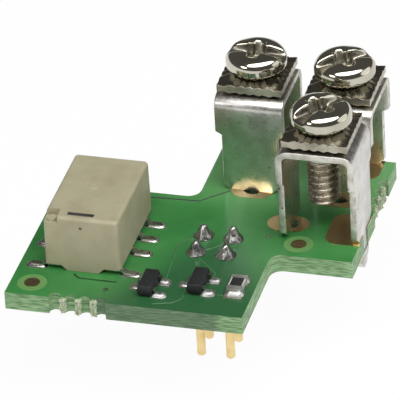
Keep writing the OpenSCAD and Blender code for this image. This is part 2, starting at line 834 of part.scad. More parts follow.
// Side view of a lead on the +X side: post, run under the base, slope and foot
module lead_section(post_top) {
    heel = lead_reach - lead_foot;
    knee = heel - (lead_z - pad_t);
    inner = post_x - lead_t / 2;
    polygon([
        [inner, lead_z], [knee, lead_z], [heel, pad_t], [lead_reach, pad_t],
        [lead_reach, pad_t + lead_t], [heel + lead_t / 2, pad_t + lead_t],
        [knee + lead_t / 2, lead_z + lead_t], [inner + lead_t, lead_z + lead_t],
        [inner + lead_t, post_top], [inner, post_top]
    ]);
}

// Pair of leads at one place along the relay
module lead_pair(y, post_top) {
    for (s = [0, 1]) mirror([s, 0, 0]) translate([0, y, 0]) rotate([90, 0, 0])
        linear_extrude(lead_w, center = true) lead_section(post_top);
}

// Coil leads: a foot outside, and a post set back from the end wall
module coil_lead_pair() {
    lead_pair(coil_lead_y, relay_lift);
    for (s = SIDES) {
        translate([s * post_x - lead_t / 2, coil_lead_y, lead_z])
            cube([lead_t, coil_post_step + lead_w / 2, lead_t]);
        translate([s * post_x - lead_t / 2, coil_lead_y + coil_post_step - lead_w / 2, lead_z])
            cube([lead_t, lead_w, core_z + core_t - lead_z]);
    }
}

module contact_lead_pair(y) {
    lead_pair(y, contact_top - contact_h);
    for (s = SIDES) translate([s * post_x, y, contact_top - contact_h])
        cylinder(d = contact_d, h = contact_h);
}

module all_leads() {
    places = lead_places();
    coil_lead_pair();
    for (y = [places[1], places[3]]) contact_lead_pair(y);
    lead_pair(pivot_y, common_top);
}

module relay_coil_leads() {
    color("silver") on_board(relay_at) coil_lead_pair();
}

module relay_contact_leads() {
    places = lead_places();
    color("silver") on_board(relay_at) for (y = [places[1], places[3]]) contact_lead_pair(y);
}

module relay_common_leads() {
    color("silver") on_board(relay_at) lead_pair(pivot_y, common_top);
}

// Base plate with a slot for each post
module relay_base() {
    w = cavity_w - 2 * base_gap;
    l = cavity_l - 2 * base_gap;
    color("black") on_board(relay_at) difference() {
        translate([-w / 2, -l / 2, relay_lift]) cube([w, l, base_t]);
        all_leads();
    }
}

// Places a piece of the works at the pivot's place along the relay
module at_pivot() {
    on_board(relay_at) translate([0, pivot_y, 0]) children();
}

// Turns a piece that rides on the armature to its released tilt
module tilted() {
    at_pivot() translate([0, 0, pivot_z]) rotate([armature_tilt, 0, 0]) children();
}

// Iron core: a bar with a pole at each end
module relay_core() {
    color("slategray") at_pivot() {
        translate([-core_w / 2, -pole_end, core_z]) cube([core_w, 2 * pole_end, core_t]);
        for (s = SIDES) translate([-core_w / 2, s * pole_y - pole_l / 2, core_z])
            cube([core_w, pole_l, pole_top - core_z]);
    }
}

former_l = 2 * (pole_y - pole_l / 2) - 2 * base_gap;
tube_w = core_w + 2 * former_t;
tube_t = core_t + 2 * former_t;
coil_w = tube_w + 2 * winding_t;

// Block centred on the core's bar
module core_block(w, l, t) {
    translate([0, 0, core_z + core_t / 2]) cube([w, l, t], center = true);
}

module relay_coil_former() {
    color("ivory") at_pivot() difference() {
        union() {
            core_block(tube_w, former_l, tube_t);
            for (s = SIDES) translate([0, s * (former_l - flange_t) / 2, 0])
                core_block(coil_w, flange_t, tube_t + 2 * winding_t);
        }
        core_block(core_w, 2 * former_l, core_t);
    }
}

module relay_winding() {
    l = former_l - 2 * flange_t;
    color("chocolate") at_pivot() difference() {
        core_block(coil_w, l, tube_t + 2 * winding_t);
        core_block(tube_w, 2 * l, tube_t);
    }
}

module relay_magnet() {
    color("dimgray") at_pivot() translate([-core_w / 2, -magnet_l / 2, flange_top])
        cube([core_w, magnet_l, magnet_t]);
}

// Armature plate with the half-round bead that it rocks on
module relay_armature() {
    color("slategray") tilted() {
        translate([-armature_w / 2, -pole_end, 0]) cube([armature_w, 2 * pole_end, armature_t]);
        difference() {
            rotate([0, 90, 0]) cylinder(r = bead_r, h = armature_w, center = true);
            translate([-armature_w, -bead_r, 0]) cube([2 * armature_w, 2 * bead_r, bead_r]);
        }
    }
}

carrier_w = 2 * post_x + spring_w + 2 * former_t;
carrier_l = contact_pitch / 2;
spring_l = 2 * (contact_edge + lead_t);

module relay_spring_carrier() {
    color("ivory") tilted() translate([-carrier_w / 2, -carrier_l / 2, armature_t])
        cube([carrier_w, carrier_l, carrier_t]);
}

module relay_contact_springs() {
    color("gold") tilted() for (s = SIDES)
        translate([s * post_x - spring_w / 2, -spring_l / 2, armature_t - spring_t])
            cube([spring_w, spring_l, spring_t]);
}

// Solder on the relay's feet
module relay_solder() {
    l = lead_foot + 2 * lump_reach;
    w = lead_w + 2 * lump_reach;
    color("darkgray") on_board(relay_at) difference() {
        for (y = lead_places(), s = SIDES) translate([s * lead_pad_x, y, pad_t])
            tapered_block([l, w], [l - 2 * lump_draw, w - 2 * lump_draw], foot_solder_h);
        all_leads();
    }
}

// Transistors, drawn with the body's middle at the origin: one lead at -X, two at +X

transistor_foot = (transistor_span - transistor_w) / 2 - transistor_lead_t;
transistor_pad = [transistor_foot + 2 * lump_reach, transistor_lead_w + 2 * lump_reach];

// Middles of the three feet
function transistor_feet() = [
    for (f = [[-1, 0], [1, -1], [1, 1]])
        [f.x * (transistor_span - transistor_foot) / 2, f.y * transistor_pitch / 2]
];

module transistor_body() {
    mid = (transistor_h + transistor_lift) / 2;
    half = mid - transistor_lift;
    wide = [transistor_w, transistor_l];
    narrow = wide - 2 * transistor_draft * [1, 1];
    translate([0, 0, mid]) {
        tapered_block(wide, narrow, half);
        mirror([0, 0, 1]) tapered_block(wide, narrow, half);
    }
}

// Side view of a lead at +X: out of the body's middle, down, and flat on its pad
module transistor_lead_section() {
    t = transistor_lead_t;
    mid = (transistor_h + transistor_lift) / 2;
    out = transistor_w / 2;
    shank = transistor_span / 2 - transistor_foot;
    polygon([
        [out, mid], [shank, mid], [shank, 0], [transistor_span / 2, 0],
        [transistor_span / 2, t], [shank + t, t], [shank + t, mid + t], [out, mid + t]
    ]);
}

module transistor_lead_set() {
    for (f = [[1, 0], [0, -1], [0, 1]]) mirror([f.x, 0, 0]) translate([0, f.y * transistor_pitch / 2, 0])
        rotate([90, 0, 0]) linear_extrude(transistor_lead_w, center = true) transistor_lead_section();
}

// The leads alone, cut clear of the slanting body
module transistor_leads() {
    union() {
        transistor_lead_set();
        difference() {
            stub_roots();
            transistor_body();
        }
    }
}

// Short roots that reach from the leads into the body's draft
module stub_roots() {
    mid = (transistor_h + transistor_lift) / 2;
    for (f = [[-1, 0], [1, -1], [1, 1]])
        translate([f.x * (transistor_w / 2 - transistor_draft / 2), f.y * transistor_pitch / 2, mid])
            translate([-transistor_draft / 2, -transistor_lead_w / 2, 0])
                cube([transistor_draft, transistor_lead_w, transistor_lead_t]);
}

module place_transistor_body(p) {
    color("black") on_board(p, deck_z + pad_t) transistor_body();
}

module place_transistor_leads(p) {
    color("silver") on_board(p, deck_z + pad_t) transistor_leads();
}

module left_transistor_body() { place_transistor_body(left_transistor_at); }
module left_transistor_leads() { place_transistor_leads(left_transistor_at); }
module right_transistor_body() { place_transistor_body(right_transistor_at); }
module right_transistor_leads() { place_transistor_leads(right_transistor_at); }

// Solder on the transistors' feet
module transistor_solder() {
    base = transistor_pad;
    top = base - 2 * lump_draw * [1, 1];
    color("darkgray") for (p = TRANSISTORS) on_board(p, deck_z + pad_t) difference() {
        for (f = transistor_feet()) translate(f) tapered_block(base, top, lump_h);
        transistor_lead_set();
        transistor_body();
    }
}

// Chip resistor, drawn lying along Y with its underside on the pads

resistor_pad_y = resistor_l / 2;
resistor_pad = [resistor_w + lump_reach, cap_l + 2 * lump_reach + cap_l];

module resistor_block(grow = 0) {
    translate([-resistor_w / 2 - grow, -resistor_l / 2 - grow, cap_t - grow])
        cube([resistor_w + 2 * grow, resistor_l + 2 * grow, resistor_h + 2 * grow]);
}

module resistor_ceramic() {
    color("white") on_board(resistor_at, deck_z + pad_t) resistor_block();
}

module resistor_end_caps() {
    gap = resistor_l - 2 * cap_l;
    color("silver") on_board(resistor_at, deck_z + pad_t) difference() {
        resistor_block(cap_t);
        resistor_block();
        cube([2 * resistor_w, gap, 4 * resistor_h], center = true);
    }
}

module resistor_glaze() {
    w = resistor_w - 2 * glaze_inset;
    l = resistor_l - 2 * cap_l;
    color("black") on_board(resistor_at, deck_z + pad_t)
        translate([-w / 2, -l / 2, cap_t + resistor_h]) cube([w, l, glaze_t]);
}

// Solder against the resistor's two ends
module resistor_solder() {
    run = cap_l + lump_reach;
    color("darkgray") on_board(resistor_at, deck_z + pad_t) for (s = [0, 1]) mirror([0, s, 0])
        translate([0, resistor_l / 2 + cap_t, 0]) rotate([90, 0, 90])
            linear_extrude(resistor_w, center = true)
                polygon([[0, 0], [run, 0], [run / 2, resistor_h / 3], [0, resistor_h]]);
}

circuit_board();
terminal_pads();
component_pads();
fiducial_dots();
left_bracket();
corner_bracket();
front_bracket();
left_washer();
corner_washer();
front_washer();
left_screw();
corner_screw();
front_screw();
terminal_solder();
header_insulator();
header_pins();
header_solder();
relay_cover();
relay_base();
relay_coil_leads();
relay_contact_leads();
relay_common_leads();
relay_core();
relay_coil_former();
relay_winding();
relay_magnet();
relay_armature();
relay_spring_carrier();
relay_contact_springs();
relay_solder();
left_transistor_body();
left_transistor_leads();
right_transistor_body();
right_transistor_leads();
transistor_solder();
resistor_ceramic();
resistor_end_caps();
resistor_glaze();
resistor_solder();
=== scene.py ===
"""Visual model of a relay module board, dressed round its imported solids.

Sizes are in metres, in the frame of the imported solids: X runs along the board's front
edge, Y towards the back and Z up, from the middle of the pin header's seating face.
"""

from __future__ import annotations

import json
import logging
import math
from dataclasses import dataclass, field
from enum import Enum
from typing import Any, Sequence, Union

import bmesh
import bpy
from mathutils import Matrix, Vector

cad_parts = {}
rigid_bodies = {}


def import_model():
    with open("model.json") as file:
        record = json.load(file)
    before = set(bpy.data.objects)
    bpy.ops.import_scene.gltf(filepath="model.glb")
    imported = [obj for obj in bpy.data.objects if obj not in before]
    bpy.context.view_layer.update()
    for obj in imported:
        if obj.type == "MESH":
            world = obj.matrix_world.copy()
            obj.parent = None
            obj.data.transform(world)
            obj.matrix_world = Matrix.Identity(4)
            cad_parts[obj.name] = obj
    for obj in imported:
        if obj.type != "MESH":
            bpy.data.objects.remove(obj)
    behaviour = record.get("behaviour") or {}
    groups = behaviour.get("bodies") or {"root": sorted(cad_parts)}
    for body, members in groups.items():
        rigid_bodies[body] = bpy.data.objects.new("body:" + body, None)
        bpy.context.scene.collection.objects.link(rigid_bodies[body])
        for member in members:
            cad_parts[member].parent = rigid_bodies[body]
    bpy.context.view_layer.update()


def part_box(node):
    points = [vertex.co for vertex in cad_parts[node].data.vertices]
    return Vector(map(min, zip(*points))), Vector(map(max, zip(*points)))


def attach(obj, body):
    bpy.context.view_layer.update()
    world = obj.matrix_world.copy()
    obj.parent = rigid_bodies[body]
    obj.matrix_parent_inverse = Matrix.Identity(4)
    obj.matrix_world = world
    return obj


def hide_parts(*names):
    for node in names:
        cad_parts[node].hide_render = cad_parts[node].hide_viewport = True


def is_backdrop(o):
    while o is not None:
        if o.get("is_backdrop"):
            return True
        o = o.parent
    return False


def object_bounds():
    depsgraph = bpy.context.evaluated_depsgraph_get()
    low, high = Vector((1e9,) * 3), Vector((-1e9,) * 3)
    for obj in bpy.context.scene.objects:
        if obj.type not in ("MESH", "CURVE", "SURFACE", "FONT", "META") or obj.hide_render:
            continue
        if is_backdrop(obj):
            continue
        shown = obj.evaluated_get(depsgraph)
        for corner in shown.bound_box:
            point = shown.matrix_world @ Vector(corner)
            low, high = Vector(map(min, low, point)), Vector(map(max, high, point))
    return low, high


LOG = logging.getLogger("relay_module")
MM = 0.001
MICRON = 1e-6
# Distance under which the corners of neighbouring triangles are one corner
WELD = 1e-7

Pair = tuple[float, float]
Triple = tuple[float, float, float]
Colour = tuple[float, float, float, float]
Socket = bpy.types.NodeSocket
# A socket, or a node that stands for its first output
Signal = Union[bpy.types.NodeSocket, bpy.types.Node]
Piece = bpy.types.Object


def linear(code: str) -> Colour:
    """Turn a screen colour into the linear values that shader sockets take.

    Args:
        code: Six hexadecimal digits, such as "2f6a38".

    Returns:
        Red, green, blue and an alpha of one.
    """
    channels = [int(code[i:i + 2], 16) / 255 for i in (0, 2, 4)]
    lit = [c / 12.92 if c <= 0.04045 else ((c + 0.055) / 1.055) ** 2.4 for c in channels]
    return (lit[0], lit[1], lit[2], 1.0)


class NodeGraph:
    """A node tree, and the helpers that add nodes to it."""

    # Places of the colour sockets on a Mix node
    MIX_A, MIX_B, MIX_RESULT = 6, 7, 2

    def __init__(self, tree: bpy.types.NodeTree) -> None:
        """Take over a tree."""
        self.tree = tree

    def add(self, kind: str, **inputs: Any) -> bpy.types.Node:
        """Add a node and feed its inputs.

        Args:
            kind: Type name of the node.
            inputs: Signals or constants, with underscores for the blanks in an input's name.

        Returns:
            The new node.
        """
        node = self.tree.nodes.new(kind)
        for name, value in inputs.items():
            self.feed(node.inputs[name.replace("_", " ")], value)
        return node

    def feed(self, target: Socket, value: Any) -> None:
        """Link a socket to a signal, or set it to a constant.

        Args:
            target: Socket on the input side of a node.
            value: Signal or constant.
        """
        if isinstance(value, bpy.types.Node):
            value = value.outputs[0]
        if isinstance(value, bpy.types.NodeSocket):
            self.tree.links.new(value, target)
        else:
            target.default_value = value

    def maths(self, operation: str, *values: Any, kind: str = "ShaderNodeMath") -> bpy.types.Node:
        """Add a node of one arithmetic step.

        Args:
            operation: Name of the step.
            values: What the node's inputs take, in their order.
            kind: Type name of the node.

        Returns:
            The new node.
        """
        node = self.add(kind)
        node.operation = operation
        for target, value in zip(node.inputs, values):
            self.feed(target, value)
        return node

    def vectors(self, operation: str, *values: Any) -> bpy.types.Node:
        """Add a node of one arithmetic step on vectors."""
        return self.maths(operation, *values, kind="ShaderNodeVectorMath")

    def axes(self, vector: Signal) -> bpy.types.NodeOutputs:
        """The three components of a vector."""
        return self.add("ShaderNodeSeparateXYZ", Vector=vector).outputs

    def blend(self, factor: Signal, first: Signal | Colour | str, second: Signal | Colour | str) -> Socket:
        """Mix two colours.

        Args:
            factor: Share of the second colour.
            first: Signal, linear values or screen colour.
            second: The other colour.

        Returns:
            The colour between them.
        """
        node = self.add("ShaderNodeMix")
        node.data_type = "RGBA"
        self.feed(node.inputs["Factor"], factor)
        for place, value in ((self.MIX_A, first), (self.MIX_B, second)):
            self.feed(node.inputs[place], linear(value) if isinstance(value, str) else value)
        return node.outputs[self.MIX_RESULT]


class ShaderGraph(NodeGraph):
    """One procedural material, and the patterns that finishes are made of."""

    def __init__(self, name: str) -> None:
        """Start a material of the given name with a Principled shader.

        Args:
            name: Name of the material.
        """
        self.material = bpy.data.materials.new(name)
        self.material.use_nodes = True
        super().__init__(self.material.node_tree)
        self.tree.nodes.clear()
        self.shader = self.add("ShaderNodeBsdfPrincipled")
        self.output = self.add("ShaderNodeOutputMaterial", Surface=self.shader)

    def drive(self, name: str, value: Any) -> None:
        """Feed one of the shader's own sockets."""
        self.feed(self.shader.inputs[name], value)

    def place(self, stretch: Triple = (1, 1, 1)) -> Signal:
        """Object coordinates, stretched along the three axes."""
        spot = self.add("ShaderNodeTexCoord").outputs["Object"]
        return self.add("ShaderNodeMapping", Vector=spot, Scale=stretch)

    def noise(self, scale: float, detail: float, stretch: Triple = (1, 1, 1)) -> Signal:
        """Cloudy pattern from 0 to 1, with so many lumps in a metre and so many finer layers."""
        return self.add("ShaderNodeTexNoise", Vector=self.place(stretch), Scale=scale, Detail=detail)

    def cells(self, scale: float) -> Signal:
        """Distance to the nearest of many scattered points."""
        return self.add("ShaderNodeTexVoronoi", Vector=self.place(), Scale=scale)

    def spread(self, source: Signal, low: float, high: float,
               start: float = 0.35, end: float = 0.65) -> Signal:
        """Carry the stretch from start to end of a pattern over to low and high."""
        return self.add(
            "ShaderNodeMapRange", Value=source, From_Min=start, From_Max=end, To_Min=low, To_Max=high)

    def bump(self, height: Signal, depth: float, strength: float = 1.0) -> None:
        """Let a pattern disturb the surface's normal, as relief of so many micrometres."""
        self.drive("Normal", self.add(
            "ShaderNodeBump", Height=height, Distance=depth * MICRON, Strength=strength))


@dataclass(frozen=True)
class Finish:
    """A surface finish, tied to a material slot of the record."""

    name: str
    slot: str

    def material(self) -> bpy.types.Material:
        """Material of this finish, made when it is first asked for.

        Returns:
            The material.
        """
        label = f"finish_{self.name}"
        found = bpy.data.materials.get(label)
        if found is not None:
            return found
        graph = ShaderGraph(label)
        self.paint(graph)
        return graph.material

    def paint(self, graph: ShaderGraph) -> None:
        """Add the finish's own nodes to a fresh material."""
        raise NotImplementedError


@dataclass(frozen=True)
class MetalFinish(Finish):
    """Plated or bare metal with a fine grain, dented by so many micrometres."""

    bright: str
    dull: str
    smooth: float
    rough: float
    grain: float = 4000
    dent: float = 2
    speck: str = ""
    speck_pitch: float = 1.1 * MM
    speck_share: float = 0.16

    # Width of a cloud in grains, raggedness of a speck's edge, and share of a speck in full colour
    CLOUD, RAGGED, CORE = 6, 0.05, 0.4

    def paint(self, graph: ShaderGraph) -> None:
        """Vary colour, gloss and relief with the grain, and add sparse specks.

        Args:
            graph: The fresh material.
        """
        grain = graph.noise(self.grain, detail=4)
        cloud = graph.noise(self.grain / self.CLOUD, detail=2)
        graph.drive("Metallic", 1.0)
        colour = graph.blend(graph.spread(cloud, 0, 1), self.dull, self.bright)
        if self.speck:
            near = graph.cells(1 / self.speck_pitch)
            ragged = graph.maths("ADD", near, graph.spread(grain, -self.RAGGED, self.RAGGED))
            spot = graph.spread(ragged, 1, 0, self.CORE * self.speck_share, self.speck_share)
            colour = graph.blend(spot, colour, self.speck)
        graph.drive("Base Color", colour)
        graph.drive("Roughness", graph.spread(grain, self.smooth, self.rough))
        graph.bump(grain, self.dent)


@dataclass(frozen=True)
class PlasticFinish(Finish):
    """Moulded plastic, fired ceramic or glass with a faint mottle, dented by so many micrometres."""

    base: str
    stain: str
    smooth: float
    rough: float
    grain: float = 9000
    cloud: float = 500
    dent: float = 4

    # Stretch of a cloud's strength over which the stain sets in
    STAINED = (0.42, 0.72)

    def paint(self, graph: ShaderGraph) -> None:
        """Vary the colour in soft clouds and the relief in fine grains.

        Args:
            graph: The fresh material.
        """
        cloud = graph.noise(self.cloud, detail=5)
        grain = graph.noise(self.grain, detail=2)
        stained = graph.spread(cloud, 0, 1, *self.STAINED)
        graph.drive("Base Color", graph.blend(stained, self.base, self.stain))
        graph.drive("Roughness", graph.spread(grain, self.smooth, self.rough))
        graph.bump(grain, self.dent)


@dataclass(frozen=True)
class MaskFinish(Finish):
    """Glossy solder mask on the board's two faces and bare laminate on its edges."""

    rings: tuple[Pair, ...]
    ring_r: float
    fences: tuple[Triple, ...]
    deep: str = "357a3c"
    clear: str = "448a48"
    # Darker green where no copper lies under the mask, which also paints the shade by the relay's front
    copperless_and_shade: str = "2d5f38"
    # Painted light: a paler green over the back of the deck, for light shining through the laminate and a
    # sheen
    painted_sheen: str = "72ad6e"
    glass: str = "9ebe90"
    resin: str = "527c4d"
    # Painted shade: a darker colour laid on the edge faces over a stretch in x
    painted_edge_shade: str = "33463a"
    bare: str = "628f50"
    gloss: float = 0.2
    dull: float = 0.55
    cloud: float = 220
    ply: float = 0.085 * MM
    strand: float = 1.1 * MM
    ply_edge: Pair = (0.38, 0.66)
    dent: float = 10
    dent_share: float = 0.6
    fence_blur: float = 2.0 * MM
    # Painted shade: its strength on the edge faces, and the stretches in x where it rises and falls
    painted_edge_shade_share: float = 0.58
    painted_edge_shade_from: Pair = (-8.5 * MM, -7.0 * MM)
    painted_edge_shade_to: Pair = (2.4 * MM, 3.2 * MM)
    # Painted light: stretch in y over which the painted sheen sets in
    painted_sheen_from: Pair = (5.5 * MM, 11.5 * MM)

    # Upright share of a normal that tells the faces from the edges
    FACING = 0.5

    def ring_mask(self, graph: ShaderGraph) -> Signal:
        """Factor that is 1 inside the clear rings round the fiducial dots.

        Args:
            graph: The fresh material.

        Returns:
            The factor.
        """
        total: Signal | float = 0.0
        for x, y in self.rings:
            offset = graph.vectors("SUBTRACT", graph.place((1, 1, 0)), (x, y, 0))
            reach = graph.vectors("LENGTH", offset).outputs["Value"]
            total = graph.maths("ADD", graph.maths("LESS_THAN", reach, self.ring_r), total)
        return total

    def copperless_and_shade_mask(self, graph: ShaderGraph) -> Signal:
        """Factor that is 1 inside all fences, where no copper lies under the mask and where shade by the
        relay's front is painted.

        Args:
            graph: The fresh material.

        Returns:
            The factor.
        """
        total: Signal | float = 1.0
        for x, y, start in self.fences:
            along = graph.vectors("DOT_PRODUCT", graph.place(), (x, y, 0)).outputs["Value"]
            inside = graph.spread(along, 0, 1, start - self.fence_blur, start + self.fence_blur)
            total = graph.maths("MULTIPLY", inside, total)
        return total

    def paint(self, graph: ShaderGraph) -> None:
        """Paint the faces and the edges apart by the direction that they look in.

        Args:
            graph: The fresh material.
        """
        normal = graph.add("ShaderNodeTexCoord").outputs["Normal"]
        upright = graph.maths("ABSOLUTE", graph.axes(normal)["Z"])
        face = graph.maths("GREATER_THAN", upright, self.FACING)
        x, y, _ = graph.axes(graph.place())
        cloud = graph.noise(self.cloud, detail=3)
        mask = graph.blend(graph.spread(cloud, 0, 1), self.deep, self.clear)
        # Painted light: the back of the deck turns a paler green
        mask = graph.blend(graph.spread(y, 0, 1, *self.painted_sheen_from), mask, self.painted_sheen)
        # The copperless darker green, which also paints the shade by the relay's front
        mask = graph.blend(self.copperless_and_shade_mask(graph), mask, self.copperless_and_shade)
        rings = self.ring_mask(graph)
        top = graph.blend(rings, mask, self.bare)
        weave = (1 / self.strand, 1 / self.strand, 1 / self.ply)
        plies = graph.noise(1.0, detail=3, stretch=weave)
        edge = graph.blend(graph.spread(plies, 0, 1, *self.ply_edge), self.resin, self.glass)
        # Painted shade: the edge faces darken between these stretches in x
        rise = graph.spread(x, 0, self.painted_edge_shade_share, *self.painted_edge_shade_from)
        painted_edge_shade = graph.maths("MULTIPLY", rise, graph.spread(x, 1, 0, *self.painted_edge_shade_to))
        edge = graph.blend(painted_edge_shade, edge, self.painted_edge_shade)
        graph.drive("Base Color", graph.blend(face, edge, top))
        matt = graph.maths("MAXIMUM", graph.maths("SUBTRACT", 1.0, face), rings)
        graph.drive("Roughness", graph.spread(matt, self.gloss, self.dull, 0.0, 1.0))
        graph.bump(plies, self.dent, self.dent_share)


@dataclass(frozen=True)
class FloorFinish(Finish):
    """White floor that stays white to the camera and keeps a faint shadow."""

    shade: str = "f4f4f2"
    rough: float = 0.9
    glow: float = 0.96

    def paint(self, graph: ShaderGraph) -> None:
        """Mix a plain white glow into the floor for camera, mirror and glass rays.

        Args:
            graph: The fresh material.
        """
        graph.drive("Base Color", linear(self.shade))
        graph.drive("Roughness", self.rough)
        rays = graph.add("ShaderNodeLightPath").outputs
        seen = graph.maths("MAXIMUM", rays["Is Camera Ray"], rays["Is Glossy Ray"])
        seen = graph.maths("MAXIMUM", seen, rays["Is Transmission Ray"])
        share = graph.maths("MULTIPLY", seen, self.glow)
        glow = graph.add("ShaderNodeEmission")
        mix = graph.add("ShaderNodeMixShader")
        for target, value in zip(mix.inputs, (share, graph.shader, glow)):
            graph.feed(target, value)
        graph.feed(graph.output.inputs["Surface"], mix)


SHEET_NICKEL = MetalFinish(
    "sheet_nickel", "bright_nickel", "dddad5", "c4c1bb", 0.27, 0.37, 4000, 7,
    speck="8d8c84", speck_share=0.12)
SHEARED_EDGE = MetalFinish(
    "sheared_edge", "bright_nickel", "e6e3da", "bdbab0", 0.44, 0.60, 7000, 7,
    speck="55544d", speck_pitch=0.7 * MM, speck_share=0.2)
# Painted shade: the washer's top gets a darker copy of the steel than its sides
WASHER_TOP_SHADED = MetalFinish("washer_nickel", "washer_steel", "979184", "7d776b", 0.20, 0.30, 4000, 1)
WASHER_EDGE = MetalFinish("washer_edge", "washer_steel", "c6c1b1", "9c9788", 0.30, 0.44, 4000, 4)
SCREW_NICKEL = MetalFinish("screw_nickel", "screw_nickel", "cac7b8", "bcb8a8", 0.07, 0.12, 3000, 0.4)
# Rougher than the head's nickel, and darker by painted shade in the recess
SCREW_RECESS_SHADED = MetalFinish("screw_recess", "screw_nickel", "b0aa9b", "8b8578", 0.30, 0.42, 5000, 3)
SCREW_THREAD = MetalFinish("screw_thread", "screw_nickel", "c6bdaa", "a1978a", 0.24, 0.36, 5000, 2)
SOLDER = MetalFinish("solder", "solder", "b4b4b0", "7c7d7b", 0.24, 0.42, 4000, 12)
WET_SOLDER = MetalFinish("wet_solder", "solder", "d2d2ce", "b6b6b2", 0.14, 0.24, 4000, 3)
FROSTED_SOLDER = MetalFinish("frosted_solder", "solder", "d2d2ce", "a9aaa6", 0.36, 0.52, 6000, 6)
TIN = MetalFinish("tin", "tin_plating", "c9c8c4", "9f9e9a", 0.18, 0.32, 6000, 1.5)
CAP_TIN = MetalFinish("cap_tin", "tin_plating", "d2d1cc", "b2b1ac", 0.48, 0.62, 5000, 4)
PAD_TIN = MetalFinish("pad_tin", "tin_plating", "bdb6a8", "9f988b", 0.45, 0.60, 5000, 3)
GOLD_PAD = MetalFinish("gold_pad", "gold_plating", "f3dda8", "e6c892", 0.17, 0.23, 900, 0.2)
GOLD_PIN = MetalFinish("gold_pin", "gold_plating", "f2dca4", "e6c98c", 0.28, 0.36, 6000, 0.6)
DOT_METAL = MetalFinish("dot_metal", "bare_copper", "b3a077", "978460", 0.34, 0.46, 4000, 0.8)
COPPER = MetalFinish("copper", "bare_copper", "a08262", "7a6047", 0.34, 0.5)
IRON = MetalFinish("iron", "soft_iron", "9a9ca0", "75777b", 0.35, 0.5)
BRONZE = MetalFinish("bronze", "spring_bronze", "c79a55", "a87e42", 0.25, 0.4)
RELAY_BEIGE = PlasticFinish("relay_beige", "beige_plastic", "aca68a", "9f987d", 0.42, 0.58, dent=3)
EPOXY_BLACK = PlasticFinish("epoxy_black", "black_plastic", "17181a", "232426", 0.52, 0.68, dent=8)
NATURAL = PlasticFinish("natural_plastic", "natural_plastic", "dcd6c4", "c9c2ad", 0.4, 0.55)
MAGNET = PlasticFinish("magnet", "magnet_iron", "44464a", "303236", 0.5, 0.7)
CERAMIC = PlasticFinish("ceramic", "white_ceramic", "c3c1bb", "aeaba5", 0.35, 0.5)
GLAZE = PlasticFinish("glaze", "black_glass", "1c1d1e", "2a2b2c", 0.25, 0.35, dent=2)
INK = PlasticFinish("ink", "black_plastic", "232321", "3a3934", 0.5, 0.65)
FIBRE = PlasticFinish("broken_fibre", "board_laminate", "c6cbb2", "7c9c6b", 0.6, 0.8, cloud=5200, dent=30)
OVER_COPPER = PlasticFinish("mask_over_copper", "board_laminate", "376c40", "3f7447", 0.12, 0.2)
# Painted shade: the gap lines are darker than mask without copper, for the shade along the gaps
MASK_GAP_SHADED = PlasticFinish("mask_in_gap", "board_laminate", "173f22", "1f4f2b", 0.12, 0.2)
VIA_TIN = PlasticFinish("tented_via", "board_laminate", "4d6238", "426638", 0.2, 0.4)
FLOOR = FloorFinish("studio_floor", "")


class GeometryGraph(NodeGraph):
    """A Geometry Nodes tree with named inputs that ends in a plain painted mesh."""

    def __init__(self, name: str) -> None:
        """Start a tree with a geometry input, a geometry output and a material input.

        Args:
            name: Name of the tree.
        """
        super().__init__(bpy.data.node_groups.new(name, "GeometryNodeTree"))
        self.keys: dict[str, str] = {}
        self.inputs = self.add("NodeGroupInput")
        self.outputs = self.add("NodeGroupOutput")
        self.tree.interface.new_socket("Geometry", in_out="OUTPUT", socket_type="NodeSocketGeometry")
        self.seed = self.value("Geometry", "NodeSocketGeometry")
        self.paint = self.value("Material", "NodeSocketMaterial")

    def value(self, name: str, kind: str = "NodeSocketFloat") -> Socket:
        """Declare a named input and give its socket inside the tree.

        Args:
            name: Name of the input.
            kind: Type name of its socket.

        Returns:
            The input's socket.
        """
        item = self.tree.interface.new_socket(name, in_out="INPUT", socket_type=kind)
        self.keys[name] = item.identifier
        return self.inputs.outputs[name]

    def values(self, *names: str) -> list[Socket]:
        """Declare several numbers."""
        return [self.value(name) for name in names]

    def close(self, geometry: Signal) -> None:
        """End the tree: realise the instances, smooth the shading and set the material.

        Args:
            geometry: What the tree has made.
        """
        real = self.add("GeometryNodeRealizeInstances", Geometry=geometry)
        smooth = self.add("GeometryNodeSetShadeSmooth", Geometry=real)
        painted = self.add("GeometryNodeSetMaterial", Geometry=smooth, Material=self.paint)
        self.feed(self.outputs.inputs["Geometry"], painted)

    def run(self, name: str, seed: bpy.types.Mesh, **values: Any) -> Piece:
        """Grow a piece over a seed mesh.

        Args:
            name: Name of the piece.
            seed: Mesh that the tree takes in.
            values: The tree's inputs, with underscores for the blanks in their names.

        Returns:
            An object with a plain mesh and no modifier.
        """
        piece = add_object(name, seed)
        modifier = piece.modifiers.new(self.tree.name, "NODES")
        modifier.node_group = self.tree
        for label, value in values.items():
            modifier[self.keys[label.replace("_", " ")]] = value
        return settle(piece)


def add_object(name: str, data: bpy.types.ID) -> Piece:
    """Add an object for a mesh, a light or a camera to the scene.

    Args:
        name: Name of the object.
        data: Its mesh, light or camera.

    Returns:
        The object.
    """
    piece = bpy.data.objects.new(name, data)
    bpy.context.scene.collection.objects.link(piece)
    return piece


def from_bmesh(name: str, form: bmesh.types.BMesh) -> Piece:
    """Turn a finished bmesh into an object, with its faces looking outwards.

    Args:
        name: Name of the object.
        form: Mesh, which is freed.

    Returns:
        The object.
    """
    bmesh.ops.recalc_face_normals(form, faces=form.faces)
    mesh = bpy.data.meshes.new(name)
    form.to_mesh(mesh)
    form.free()
    return add_object(name, mesh)


